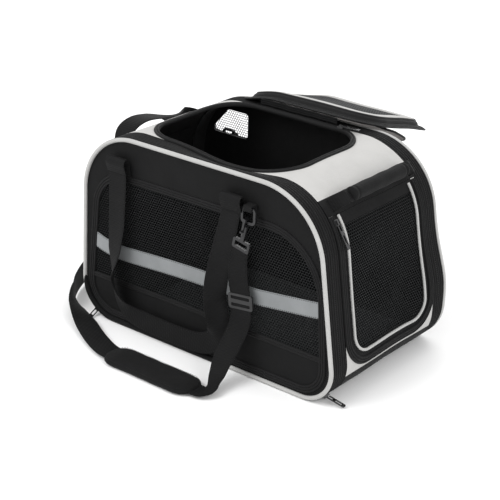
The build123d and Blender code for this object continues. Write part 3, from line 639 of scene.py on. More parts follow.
def net_tree():
    """Six-sided holes between round threads, over the flat face that is given."""
    tree, nodes, given, out = new_tree("open_net", [
        ("Hole Pitch", "NodeSocketFloat", 0.005), ("Thread", "NodeSocketFloat", 0.001),
        ("Finish", "NodeSocketMaterial", None)])
    pitch, face = given.outputs["Hole Pitch"], given.outputs["Geometry"]
    bounds = nodes.add("GeometryNodeBoundBox", {"Geometry": face})
    size = nodes.add("ShaderNodeVectorMath", {0: bounds.outputs["Max"], 1: bounds.outputs["Min"]},
                     operation="SUBTRACT").outputs[0]
    middle = nodes.add("ShaderNodeVectorMath", {0: bounds.outputs["Max"], 1: bounds.outputs["Min"]},
                       operation="ADD").outputs[0]
    middle = nodes.add("ShaderNodeVectorMath", {0: middle, "Scale": 0.5}, operation="SCALE").outputs[0]
    span = nodes.add("ShaderNodeSeparateXYZ", {0: size})
    wide = nodes.math("ADD", nodes.math("ROUND", nodes.math("DIVIDE", span.outputs[0], pitch)), 3.0)
    row = nodes.math("MULTIPLY", pitch, math.sqrt(3) / 2)
    tall = nodes.math("ADD", nodes.math("ROUND", nodes.math("DIVIDE", span.outputs[1], row)), 3.0)
    grid = nodes.add("GeometryNodeMeshGrid", {
        "Size X": nodes.math("MULTIPLY", nodes.math("SUBTRACT", wide, 1.0), pitch),
        "Size Y": nodes.math("MULTIPLY", nodes.math("SUBTRACT", tall, 1.0), row),
        "Vertices X": wide, "Vertices Y": tall})
    index = nodes.add("GeometryNodeInputIndex").outputs[0]
    odd = nodes.math("MODULO", nodes.math("MODULO", index, tall), 2.0)
    step = nodes.add("ShaderNodeCombineXYZ", {0: nodes.math("MULTIPLY", odd, nodes.math("MULTIPLY", pitch, 0.5))})
    shift = nodes.add("ShaderNodeVectorMath", {0: step.outputs[0], 1: middle}, operation="ADD").outputs[0]
    moved = nodes.add("GeometryNodeSetPosition", {"Geometry": grid.outputs["Mesh"], "Offset": shift})
    split = nodes.add("GeometryNodeTriangulate", {"Mesh": moved.outputs[0]}, quad_method="SHORTEST_DIAGONAL")
    cells = nodes.add("GeometryNodeDualMesh", {"Mesh": split.outputs[0]})
    here = nodes.add("GeometryNodeInputPosition").outputs[0]
    above = nodes.add("ShaderNodeVectorMath", {0: here, 1: (0, 0, 0.01)}, operation="ADD").outputs[0]
    ray = nodes.add("GeometryNodeRaycast", {"Target Geometry": face, "Source Position": above,
                                            "Ray Direction": (0, 0, -1), "Ray Length": 0.1})
    outside = nodes.add("FunctionNodeBooleanMath", {0: ray.outputs["Is Hit"]}, operation="NOT").outputs[0]
    kept = nodes.add("GeometryNodeDeleteGeometry", {"Geometry": cells.outputs[0], "Selection": outside})
    lines = nodes.add("GeometryNodeMeshToCurve", {"Mesh": kept.outputs[0]})
    thread = nodes.add("GeometryNodeCurvePrimitiveCircle", {
        "Resolution": 4, "Radius": nodes.math("MULTIPLY", given.outputs["Thread"], 0.5)})
    tubes = nodes.add("GeometryNodeCurveToMesh", {"Curve": lines.outputs[0], "Profile Curve": thread.outputs[0],
                                                  "Fill Caps": True})
    return finish_tree(tree, nodes, tubes.outputs[0], given, out)


def row_tree():
    """Small equal pieces laid end to end along a line, such as stitches or zip teeth."""
    tree, nodes, given, out = new_tree("laid_in_a_row", [
        ("Pitch", "NodeSocketFloat", 0.004), ("Piece", "NodeSocketVector", (0.003, 0.001, 0.001)),
        ("Finish", "NodeSocketMaterial", None)])
    line = nodes.add("GeometryNodeMeshToCurve", {"Mesh": given.outputs["Geometry"]}).outputs[0]
    even = nodes.add("GeometryNodeResampleCurve", {"Curve": line, "Length": given.outputs["Pitch"]},
                     mode="LENGTH")
    ball = nodes.add("GeometryNodeMeshIcoSphere", {"Radius": 0.5, "Subdivisions": 1})
    shaped = nodes.add("GeometryNodeTransform", {"Geometry": ball.outputs[0], "Scale": given.outputs["Piece"]})
    tangent = nodes.add("GeometryNodeInputTangent").outputs[0]
    up = nodes.add("GeometryNodeInputNamedAttribute", {"Name": "up"}, data_type="FLOAT_VECTOR").outputs[0]
    first = nodes.add("FunctionNodeAlignRotationToVector", {"Vector": tangent}, axis="X")
    turned = nodes.add("FunctionNodeAlignRotationToVector", {"Rotation": first.outputs[0], "Vector": up},
                       axis="Z", pivot_axis="X")
    placed = nodes.add("GeometryNodeInstanceOnPoints", {"Points": even.outputs[0], "Instance": shaped.outputs[0],
                                                        "Rotation": turned.outputs[0]})
    return finish_tree(tree, nodes, placed.outputs[0], given, out)


def grown(name, mesh, tree, values):
    """The plain mesh that a node tree makes from a starting mesh."""
    source = bpy.data.objects.new(name + "_source", mesh)
    bpy.context.scene.collection.objects.link(source)
    modifier = source.modifiers.new("Nodes", "NODES")
    modifier.node_group = tree
    for item in tree.interface.items_tree:
        if item.in_out == "INPUT" and item.name in values:
            modifier[item.identifier] = values[item.name]
    bpy.context.view_layer.update()
    depsgraph = bpy.context.evaluated_depsgraph_get()
    made = bpy.data.meshes.new_from_object(source.evaluated_get(depsgraph))
    bpy.data.objects.remove(source)
    if not made.polygons:
        raise RuntimeError(f"{name}: the node tree made no faces")
    made.polygons.foreach_set("use_smooth", np.ones(len(made.polygons), bool))
    obj = bpy.data.objects.new(name, made)
    bpy.context.scene.collection.objects.link(obj)
    return obj


TREES = {}


def net(name, outline, place, look):
    """A net over a flat outline, then laid where place() says."""
    mesh = bpy.data.meshes.new(name + "_face")
    mesh.from_pydata([(a, b, 0) for a, b in outline], [], [tuple(range(len(outline)))])
    obj = grown(name, mesh, TREES["net"], {"Hole Pitch": look.net_pitch, "Thread": look.net_thread,
                                          "Finish": FINISH["net"]})
    co = np.zeros(len(obj.data.vertices) * 3)
    obj.data.vertices.foreach_get("co", co)
    co = place(co.reshape(-1, 3))
    obj.data.vertices.foreach_set("co", co.ravel())
    obj.data.update()
    return obj


def row(name, lines, ups, pitch, piece, finish, closed=False):
    """Stitches or teeth along lines, standing on the side that ups give."""
    verts, edges, normals = [], [], []
    for line, up in zip(lines, ups):
        start = len(verts)
        verts += [tuple(p) for p in line]
        normals += [tuple(u) for u in np.broadcast_to(up, np.shape(line))]
        edges += [(start + i, start + i + 1) for i in range(len(line) - 1)]
        if closed:
            edges.append((start + len(line) - 1, start))
    mesh = bpy.data.meshes.new(name + "_line")
    mesh.from_pydata(verts, edges, [])
    attribute = mesh.attributes.new("up", "FLOAT_VECTOR", "POINT")
    attribute.data.foreach_set("vector", np.array(normals, np.float32).ravel())
    return grown(name, mesh, TREES["row"], {"Pitch": pitch, "Piece": piece, "Finish": finish})


# ------------------------------------------------------------------ pieces
def put_verts(obj, place):
    """Moves a mesh's points by a function of their places."""
    co = np.zeros(len(obj.data.vertices) * 3)
    obj.data.vertices.foreach_get("co", co)
    obj.data.vertices.foreach_set("co", place(co.reshape(-1, 3)).ravel())
    obj.data.update()
    return obj


def slumped(obj):
    """The piece laid on the slack bag."""
    return put_verts(obj, slump)


def make_stage(look):
    """Floor, lights and camera."""
    mesh = bpy.data.meshes.new("floor")
    size = 40.0
    ring = [(size * math.cos(a), size * math.sin(a), -0.0006) for a in np.linspace(0, 2 * math.pi, 48, False)]
    mesh.from_pydata(ring, [], [tuple(range(48))])
    floor = bpy.data.objects.new("floor", mesh)
    bpy.context.scene.collection.objects.link(floor)
    mat, nodes, shader, place = material("pale_floor", (0.93, 0.93, 0.93), 0.9, specular=0.05)
    floor.data.materials.append(mat)
    world = bpy.data.worlds.new("studio")
    world.use_nodes = True
    world.node_tree.nodes["Background"].inputs[0].default_value = (1, 1, 1, 1)
    world.node_tree.nodes["Background"].inputs[1].default_value = 0.92
    scene = bpy.context.scene
    scene.world = world
    scene.view_settings.view_transform = "Standard"
    for name, spot, power, width in (("key", (-1.2, -2.2, 2.6), 62, 1.8), ("side", (2.6, -0.6, 1.7), 34, 1.6),
                                     ("rear", (-0.6, 2.4, 2.2), 34, 2.0)):
        light = bpy.data.lights.new(name, "AREA")
        light.energy, light.size = power, width
        lamp = bpy.data.objects.new(name, light)
        scene.collection.objects.link(lamp)
        back = unit(np.array(spot) - (0, 0, 0.15))
        across = unit(np.cross((0, 0, 1), back))
        turn = np.stack([across, np.cross(back, across), back], 1)
        lamp.matrix_world = Matrix.Translation(spot) @ Matrix(turn.tolist()).to_4x4()
    cam = bpy.data.cameras.new("camera")
    cam.lens, cam.sensor_width = look.lens, 36.0
    obj = bpy.data.objects.new("camera", cam)
    scene.collection.objects.link(obj)
    a, e, r = look.azimuth, look.elevation, look.roll
    back = np.array((math.sin(a) * math.cos(e), -math.cos(a) * math.cos(e), math.sin(e)))
    x = unit(np.cross((0, 0, 1), back))
    y = np.cross(back, x)
    x2, y2 = math.cos(r) * x + math.sin(r) * y, -math.sin(r) * x + math.cos(r) * y
    turn = Matrix(np.stack([x2, y2, back], 1).tolist()).to_4x4()
    obj.matrix_world = Matrix.Translation(np.array((-0.0243, 0, 0.12205)) + back * look.distance) @ turn
    scene.camera = obj


def pillow(name, x0, x1, y0, y1, r, low, high):
    """A flat cushion with rounded edges and corners."""
    centre = ((x0 + x1) / 2, (y0 + y1) / 2)
    levels = [(0.0, 0.5), (0.0012, 0.72), (0.004, 0.92), (0.009, 1.0), (0.018, 1.0)]
    angles = np.linspace(-math.pi, math.pi, 120, endpoint=False)
    rings, mid = [], (low + high) / 2
    for d, k in levels:
        loop = spokes(dense(box_line(x0 + d, x1 - d, y0 + d, y1 - d, max(0.002, r - d), 4)[0]), centre, angles)
        rings.append((loop, k))
    steps = [(loop, mid + (high - mid) * (k * 2 - 1 if k > 0.5 else 0)) for loop, k in rings]
    inner = rings[-1][0]
    for t in (0.75, 0.5, 0.25, 0.06):
        steps.append((np.array(centre) + (inner - centre) * t, high + 0.0008 * (1 - t)))
    verts = [np.concatenate([loop, np.full((120, 1), z)], 1) for loop, z in steps]
    under = [np.concatenate([loop, np.full((120, 1), 2 * mid - z if z <= high else low)], 1)
             for loop, z in steps[1:]]
    allv = verts + under
    count = len(verts)
    faces = []
    ring_faces = lambda a, b: [(a * 120 + j, a * 120 + (j + 1) % 120, b * 120 + (j + 1) % 120, b * 120 + j)
                               for j in range(120)]
    for i in range(count - 1):
        faces += ring_faces(i, i + 1)
    chain = [0] + list(range(count, count + len(under)))
    for a, b in zip(chain[:-1], chain[1:]):
        faces += [tuple(reversed(f)) for f in ring_faces(a, b)]
    faces.append(tuple((count - 1) * 120 + j for j in range(120)))
    last = chain[-1]
    faces.append(tuple(reversed([last * 120 + j for j in range(120)])))
    return closed_mesh(name, np.vstack(allv), faces, [FINISH["padding"]])


def make_shoulder_pad(look):
    """The padded slide on the shoulder strap, with its stitched edge."""
    pad = pillow("shoulder_pad", -0.106, 0.066, -0.258, -0.202, 0.024, 0.0005, 0.0108)
    swell(pad, 0.004, 0.0012)
    install(pad, "root", "padded_sleeve", "shoulder_pad")
    loop = box_line(-0.102, 0.062, -0.254, -0.206, 0.021, 5)[0]
    line = np.concatenate([loop, np.full((len(loop), 1), 0.0102)], 1)
    install(row("shoulder_pad_stitches", [line], [np.broadcast_to((0, 0, 1.0), line.shape)], look.stitch_pitch,
                (0.0028, 0.0008, 0.0008), FINISH["stitch"], closed=True), "root", "webbing")
    return pad


def make_strap(look):
    """The shoulder strap: one flat ribbon from the front hook through glide and pad to the back hook."""
    stops = [
        ((0.0764, -0.15025, 0.2009), (1, 0, 0)), ((0.071, -0.15025, 0.1755), (1, 0, 0)),
        ((0.073, -0.15025, 0.152), (1, 0, 0)), ((0.078, -0.15025, 0.133), (1, 0, 0)),
        ((0.081, -0.15025, 0.109), (1, 0, 0)), ((0.080, -0.1525, 0.085), (1, 0, 0)),
        ((0.074, -0.161, 0.060), (1, 0, 0)), ((0.070, -0.177, 0.037), (1, 0.1, 0)),
        ((0.076, -0.198, 0.017), (1, 0, 0)), ((0.084, -0.218, 0.008), (0.8, -0.6, 0)),
        ((0.078, -0.229, 0.0055), (0.2, -1, 0)), ((0.0662, -0.230, 0.0055), (0, -1, 0)),
        ((0.010, -0.230, 0.0055), (0, -1, 0)), ((-0.050, -0.230, 0.0055), (0, -1, 0)),
        ((-0.1063, -0.230, 0.0055), (0, -1, 0)), ((-0.148, -0.214, 0.005), (-0.3, -0.95, 0)),
        ((-0.194, -0.190, 0.0075), (-0.47, -0.88, 0.1)), ((-0.240, -0.165, 0.0165), (-0.35, -0.6, 0.6)),
        ((-0.276, -0.138, 0.0205), (0, 0, 1)), ((-0.303, -0.100, 0.0205), (0, 0, 1)),
        ((-0.319, -0.062, 0.024), (0, -0.15, 1)), ((-0.324, -0.020, 0.035), (0, -0.55, 0.8)),
        ((-0.316, 0.014, 0.065), (0, -0.95, 0.25)), ((-0.294, 0.020, 0.111), (0, -1, 0)),
        ((-0.275, 0.002, 0.159), (0.2, -1, 0)), ((-0.263, -0.026, 0.207), (0.7, -0.7, 0)),
        ((-0.257, -0.044, 0.247), (1, -0.2, 0)), ((-0.256, -0.034, 0.275), (1, 0, 0)),
        ((-0.256, -0.002, 0.285), (1, 0, 0)), ((-0.258, 0.040, 0.278), (1, 0, 0)),
        ((-0.268, 0.080, 0.267), (1, 0, 0.2)), ((-0.280, 0.109, 0.256), (0.8, 0, 0.6)),
        ((-0.289, 0.137, 0.247), (0.3, 0, 1)), ((-0.287, 0.161, 0.239), (0, 0, 1)),
        ((-0.269, 0.173, 0.233), (0, 0, 1)), ((-0.24745, 0.1655, 0.231), (0, 0, 1))]
    line, run, across, up = laid(stops, 1e-9)
    wide = np.interp(run, [0, 0.012, 0.03, 0.15, 0.17, 0.20, 0.215, 0.24, 0.40, 0.42, run[-1] - 0.03, run[-1]],
                     [0.028, 0.030, 0.036, 0.036, 0.034, 0.026, 0.020, 0.030, 0.030, 0.036, 0.036, 0.028])
    flat = strap_profile(1.0, 0.0024)
    profile = flat[None] * np.stack([wide, np.ones(len(wide))], 1)[:, None]
    strap = swept("shoulder_strap", line, across, up, profile, FINISH["webbing"], uv=True)
    install(strap, "root", "webbing", "shoulder_strap_upper", "shoulder_strap_lower", "shoulder_strap_rear")
    edges = [line + across * wide[:, None] * k + up * 0.0012 * j for k in (-0.42, 0.42) for j in (1, -1)]
    ups = [up * j for k in (1, 1) for j in (1, -1)]
    seams = row("shoulder_strap_stitches", edges, ups, 0.0045, STRAP_STITCH, FINISH["stitch"])
    install(seams, "root", "webbing")
    pad = make_shoulder_pad(look)


def make_shell(S, look):
    """Floor, ends, header, top and sides with their linings."""
    half = S.gusset
    y = np.linspace(-half, half, 45)

    def wall_panel(name, s, finish, node_slot):
        grid = S.at(s[:, None], y[None, :])
        obj = slumped(slab(name, grid, WALL, FINISH[finish], lining=FINISH["lining"]))
        install(obj, "root", node_slot, name)

    wall_panel("bottom_panel", np.linspace(S.left(BOTTOM_WRAP) - S.total, S.right(BOTTOM_WRAP), 130),
               "black", "black_fabric")
    wall_panel("door_header", np.linspace(S.right(DOOR_TOP), S.right(HEADER_TOP), 14), "black", "black_fabric")

    def holed(name, outer, inner, centre, place, finish, node_slot, corners, count=260, rows=18):
        flat = ring_grid(outer, inner, centre, count, rows, corners)
        obj = slumped(slab(name, place(flat), WALL, FINISH[finish], around=True, lining=FINISH["lining"]))
        install(obj, "root", node_slot, name)

    def rect(x0, x1, y0, y1):
        return np.array([(x0, y0), (x1, y0), (x1, y1), (x0, y1)])

    left_place = lambda p: S.at(S.left(p[..., 1]), p[..., 0])
    right_place = lambda p: S.at(S.right(p[..., 1]), p[..., 0])
    top_place = lambda p: S.at(S.top(p[..., 0]), p[..., 1])
    box = rect(-half, half, BOTTOM_WRAP, HEADER_TOP)
    holed("left_end_panel", box, box_line(-0.082, 0.082, 0.073, 0.248, 0.034)[0], (0, 0.16), left_place,
          "black", "black_fabric", box)
    box = rect(-half, half, BOTTOM_WRAP, DOOR_TOP)
    door = door_line(0.0, 0.2687)
    flat = ring_grid(box, door, (0, 0.16), 260, 9, list(box) + [(-0.098, 0.2687), (0.098, 0.2687)])
    under = np.flatnonzero(flat[-1, :, 1] < 0.26865)
    first = under[np.argmax(np.diff(np.append(under, under[0] + flat.shape[1])))] + 1
    flat = np.roll(flat, -first, axis=1)
    flat = flat[:, flat[-1, :, 1] < 0.26865]
    piece = slab("right_end_panel", right_place(flat), WALL, FINISH["grey"],
                 lining=FINISH["lining"], outward=(1, 0, 0))
    install(slumped(piece), "root", "grey_fabric", "right_end_panel")
    x1, x0 = S.flat(S.right(HEADER_TOP))[0], S.flat(S.left(HEADER_TOP))[0]
    box = rect(x0, x1, -half, half)
    holed("top_panel", box, box_line(-0.154, 0.110, -0.1, 0.1, 0.056)[0], (-0.022, 0), top_place,
          "grey", "grey_fabric", box, 300, 18)
    outer = resampled(S.points - S.outs * 0.0030, S.outs, 420)[0]
    for side, sign in (("front", -1), ("back", 1)):
        hole = clipped(arch_line()[0], KICK_TOP) if sign < 0 else vent_line()
        centre = (-0.005, 0.16) if sign < 0 else (-0.182, 0.262)
        kept = [(hole[:, 0].min() + 0.003, KICK_TOP), (hole[:, 0].max() - 0.003, KICK_TOP)]
        flat = ring_grid(outer, hole, centre, 400, 26, kept if sign < 0 else [])
        grid = np.stack([flat[..., 0], np.full(flat.shape[:2], sign * S.face_y), flat[..., 1]], -1)
        obj = slumped(slab(side + "_panel", grid, 0.0025, FINISH["black"], around=True,
                           lining=FINISH["lining"], outward=(0, sign, 0)))
        install(obj, "root", "black_fabric", side + "_panel")


def vent_line():
    """The back vent's outline in X and Z."""
    points, _ = rounded_polygon([(-0.144, 0.239), (-0.144, 0.282), (-0.186, 0.282), (-0.224, 0.239)],
                                [0.006, 0.006, 0.012, 0.006], 10)
    return points[:-1]


def door_line(inset, top, steps=10):
    """The end door in Y and Z: square at its hinge, rounded at its foot."""
    half, low, r = HALF_DOOR - inset, DOOR_LOW + inset, DOOR_R - inset
    a = np.linspace(-math.pi / 2, 0, steps)
    right = np.stack([half - r + r * np.cos(a), low + r + r * np.sin(a)], 1)
    left = (right * (-1, 1))[::-1]
    return np.vstack([right, [(half, top), (-half, top)], left])


def make_bands(S, look):
    """Ridged zip bands and edge pipings all round both sides."""
    for side, sign in (("front", -1), ("back", 1)):
        flat, outs = resampled(S.points, S.outs, 380)
        out3 = np.stack([outs[:, 0], 0 * outs[:, 0], outs[:, 1]], 1)
        path = np.stack([flat[:, 0], np.full(len(flat), sign * BAND_PLANE), flat[:, 1]], 1) - out3 * 0.0037
        across = np.broadcast_to((0, 1.0, 0), path.shape)
        band = swept(side + "_zip_band", path, across, out3,
                     cords_profile(0.0304, 0.0026, look.ridges, 0.0011), FINISH["zip"], closed=True)
        install(slumped(band), "root", "zip_tape", side + "_zip_band")
        line = path + out3 * 0.0018
        teeth = row(side + "_band_zip_teeth", [line], [out3], look.tooth_pitch,
                    (0.0019, 0.0030, 0.0016), FINISH["teeth"], closed=True)
        install(slumped(teeth), "root", "black_plastic")
        path = np.stack([flat[:, 0], np.full(len(flat), sign * PIPING_PLANE), flat[:, 1]], 1) - out3 * 0.00325
        tube = swept(side + "_piping", path, across, out3, circle(0.0033, 12), FINISH["piping"], closed=True)
        install(slumped(tube), "root", "grey_piping", side + "_piping")
        if sign < 0:
            s = np.linspace(S.left(0.075), S.total + 0.075, 130)
            fat = 0.0044 * np.sqrt(np.clip(np.minimum((s - s[0]) / 0.04, (s[-1] - s) / 0.06), 0.02, 1))
            around = S.at(s, -0.1424, -0.0040)
            outward = unit(S.at(s, -0.1424, 0.01) - around)
            profile = circle(1.0, 12)[None] * fat[:, None, None]
            fold = swept("front_sag_fold", around, np.broadcast_to((0, 1.0, 0), around.shape), outward, profile,
                         FINISH["black"])
            install(slumped(fold), "root", "black_fabric")
        seam = path - out3 * 0.0052 + (0, sign * 0.0012, 0)
        stitches = row(side + "_edge_stitches", [seam], [np.broadcast_to((0, float(sign), 0), seam.shape)],
                       look.stitch_pitch, STITCH, FINISH["stitch"], closed=True)
        install(slumped(stitches), "root", "black_binding")


def make_windows(S, look):
    """Nets, window bindings and silver tapes."""
    face = lambda sign: (lambda p: slump(np.stack([p[:, 0], sign * (NET_PLANE + p[:, 2]), p[:, 1]], 1)))
    install(net("front_window_net", clipped(arch_line(0.002)[0], 0.070), face(-1), look), "root",
            "black_mesh", "front_window_net")
    install(net("back_window_net", vent_line(), face(1), look), "root", "black_mesh",
            "back_window_net")
    left = net("left_window_net", box_line(-0.083, 0.083, 0.072, 0.249, 0.034)[0],
               lambda p: slump(S.at(S.left(p[:, 1]), p[:, 0], p[:, 2] - 0.0012)), look)
    install(left, "root", "black_mesh", "left_window_net")
    # A thin black sheet just inside the left window net, standing in for shade: it keeps the left end dark where
    # light would show through both nets.
    y, z = np.meshgrid(np.linspace(-0.090, 0.090, 30), np.linspace(0.064, 0.257, 30))
    cover = slab("left_window_painted_shade_sheet", slump(S.at(S.left(z), y, -0.0042)), 0.0008, FINISH["lining"])
    install(cover, "root", "black_fabric")
    flat, outs = arch_line()
    line, out = resampled(np.vstack([flat, flat[:1]]), np.vstack([outs, outs[:1]]), 260)
    path = slump(np.stack([line[:, 0], np.full(len(line), -FACE_PLANE), line[:, 1]], 1))
    across = np.stack([out[:, 0], 0 * out[:, 0], out[:, 1]], 1)
    up = np.broadcast_to((0, -1.0, 0), path.shape)
    ring = swept("front_window_binding", path, across, up, cords_profile(0.0115, 0.0014, 3, 0.0008),
                 FINISH["binding"], closed=True)
    install(ring, "root", "black_binding", "front_window_binding")
    stitches = row("front_window_stitches", [path + across * 0.0068 + up * 0.0002], [up],
                   look.stitch_pitch, STITCH, FINISH["stitch"], closed=True)
    install(stitches, "root", "black_binding")
    kick = slump(np.array([(x, -FACE_PLANE, 0.0705) for x in np.linspace(-0.2285, 0.2205, 90)]))
    bar = swept("front_kick_binding", kick, np.broadcast_to((0, 0, 1.0), kick.shape),
                np.broadcast_to((0, -1.0, 0), kick.shape), cords_profile(0.008, 0.0011, 2, 0.0006),
                FINISH["binding"])
    install(bar, "root", "black_binding")
    flat, outs = box_line(-0.0821, 0.0821, 0.0729, 0.2481, 0.034)
    line, out = resampled(np.vstack([flat, flat[:1]]), np.vstack([outs, outs[:1]]), 160)
    path = S.at(S.left(line[:, 1]), line[:, 0], 0.0004)
    tangent = unit(np.roll(path, -1, 0) - np.roll(path, 1, 0))
    up = unit(S.at(S.left(line[:, 1]), line[:, 0], 0.01) - S.at(S.left(line[:, 1]), line[:, 0], 0.0))
    ring = swept("left_window_binding", slump(path), np.cross(tangent, up), up,
                 cords_profile(0.010, 0.0012, 2, 0.0007), FINISH["binding"], closed=True)
    install(ring, "root", "black_binding", "left_window_binding")
    x = np.linspace(-0.2262, 0.2175, 120)
    z = np.interp(x, (-0.222, -0.200, -0.179, -0.156, 0.025, 0.102, 0.195, 0.22),
                  (0.1328, 0.126, 0.1223, 0.1218, 0.1288, 0.1318, 0.1433, 0.147))
    for side, sign in (("front", -1), ("back", 1)):
        lift = 0.1416 if sign < 0 else 0.1415
        path = slump(np.stack([x, np.full(len(x), sign * lift), z if sign < 0 else np.full(len(x), 0.134)], 1))
        tangent = unit(np.gradient(path, axis=0))
        up = np.broadcast_to((0, float(sign), 0), path.shape)
        across = np.cross(tangent, up)
        tape = swept(side + "_reflective_tape", path, across, up, strap_profile(0.025, 0.0008, 0.0, 13),
                     FINISH["silver"])
        install(tape, "root", "reflective_tape", side + "_reflective_tape")
        lines = [path + across * k + up * 0.0006 for k in (-0.0112, 0.0112)]
        stitches = row(side + "_tape_stitches", lines, [up, up], 0.0036, (0.0022, 0.0011, 0.0008),
                       FINISH["stitch"])
        install(stitches, "root", "black_binding")


def make_rim(S, look):
    """Twin cords round the top opening and the seam of the lid's hinge."""
    flat, outs = box_line(-0.158, 0.114, -0.104, 0.104, 0.060)
    line, out = resampled(np.vstack([flat, flat[:1]]), np.vstack([outs, outs[:1]]), 240)
    path = S.at(S.top(line[:, 0]), line[:, 1], -0.0002)
    tangent = unit(np.roll(path, -1, 0) - np.roll(path, 1, 0))
    up = unit(S.at(S.top(line[:, 0]), line[:, 1], 0.01) - S.at(S.top(line[:, 0]), line[:, 1], 0.0))
    across = np.cross(tangent, up)
    rim = swept("opening_rim", path, across, up, cords_profile(0.0085, 0.0026, 2, 0.0008), FINISH["binding"],
                closed=True)
    install(slumped(rim), "root", "zip_tape", "opening_rim")
    teeth = row("opening_zip_teeth", [path + up * 0.0014], [up], look.tooth_pitch, (0.0019, 0.0026, 0.0018),
                FINISH["teeth"], closed=True)
    install(slumped(teeth), "root", "black_plastic")
    x = np.linspace(-0.096, 0.052, 40)
    path = slump(np.stack([x, np.full(40, 0.1105), np.full(40, 0.3132)], 1))
    seam = swept("hinge_seam", path, np.broadcast_to((0, 1.0, 0), path.shape),
                 np.broadcast_to((0, 0, 1.0), path.shape), cords_profile(0.005, 0.0012, 2, 0.0008),
                 FINISH["black"])
    install(seam, "root", "black_fabric", "hinge_seam")


def make_door(S, look):
    """The end door, hung from its top seam."""
    place = lambda p, lift=0.0: slump(S.at(S.right(p[..., 1]), p[..., 0], lift))
    outer, inner = door_line(0.0005, 0.2685), door_line(0.014, 0.2545)
    ends = [(-0.0975, 0.2685), (0.0975, 0.2685), (-0.084, 0.2545), (0.084, 0.2545)]
    flat = ring_grid(outer, inner, (0, 0.16), 240, 9, ends)
    frame_piece = slab("door_frame", place(flat), WALL, FINISH["black"], around=True, lining=FINISH["lining"],
                       outward=(1, 0, 0))
    install(frame_piece, "end_door", "black_fabric", "door_frame")
    install(net("door_net", door_line(0.013, 0.2555), lambda p: place(p, p[:, 2] - 0.0012), look), "end_door",
            "black_mesh", "door_net")

    def around_door(inset, top, lift):
        line = door_line(inset, top, 16)
        line = np.vstack([line[-16:], line[:16]])
        u = np.vstack([[(-HALF_DOOR + inset, top)], line, [(HALF_DOOR - inset, top)]])
        run = along(u)
        at = np.arange(0, run[-1], 0.004)
        u = np.stack([np.interp(at, run, u[:, k]) for k in (0, 1)], 1)
        path = place(u, lift)
        up = unit(place(u, lift + 0.01) - path)
        tangent = unit(np.gradient(path, axis=0))
        return path, np.cross(tangent, up), up

    path, across, up = around_door(0.0105, 0.268, 0.0016)
    tube = swept("door_piping", path, across, up, circle(0.0022, 10), FINISH["piping"])
    install(tube, "end_door", "grey_piping", "door_piping")
    for name, inset, lift in (("door_edge_stitches", 0.0055, 0.0003), ("door_net_stitches", 0.0128, 0.0003)):
        path, across, up = around_door(inset, 0.262, lift)
        install(row(name, [path], [up], look.stitch_pitch, STITCH, FINISH["stitch"]),
                "end_door", "black_binding")
    path, across, up = around_door(-0.0050, 0.2688, 0.0004)
    zip_line = swept("door_zip_tape", path, across, up, cords_profile(0.0118, 0.0018, 3, 0.0006), FINISH["zip"])
    install(zip_line, "root", "zip_tape")


LID_TILT = math.radians(15.0)
LID_X = np.array((1.0, 0, 0))
LID_Y = np.array((0, math.cos(LID_TILT), -math.sin(LID_TILT)))
LID_Z = np.array((0, math.sin(LID_TILT), math.cos(LID_TILT)))
LID_ORIGIN = np.array((-0.022, 0.110, 0.3293))


def lid_place(u, v, w):
    """From the lid's own plane to the bag, with the lid's slack."""
    u, v, w = np.broadcast_arrays(np.asarray(u, float), v, w)
    far = ease((v - 0.10) / 0.105)
    w = w - 0.006 * far * ease((u - 0.02) / 0.12) - 0.003 * far * ease((-u - 0.03) / 0.11)
    w = w - 0.012 * ease((-u - 0.05) / 0.085)
    w = w + 0.0012 * np.sin(u * 31 + 1.0) * np.sin(v * 23) - 0.0025 * (1 - (u / 0.14) ** 2) * ease(v / 0.1)
    return LID_ORIGIN + u[..., None] * LID_X + v[..., None] * LID_Y + w[..., None] * LID_Z


def lid_line(inset):
    """The lid's outline in its own plane, this far inside its edge."""
    return box_line(-0.139 + inset, 0.139 - inset, 0.0005 + inset, 0.205 - inset, 0.063 - inset, 3.0)[0]


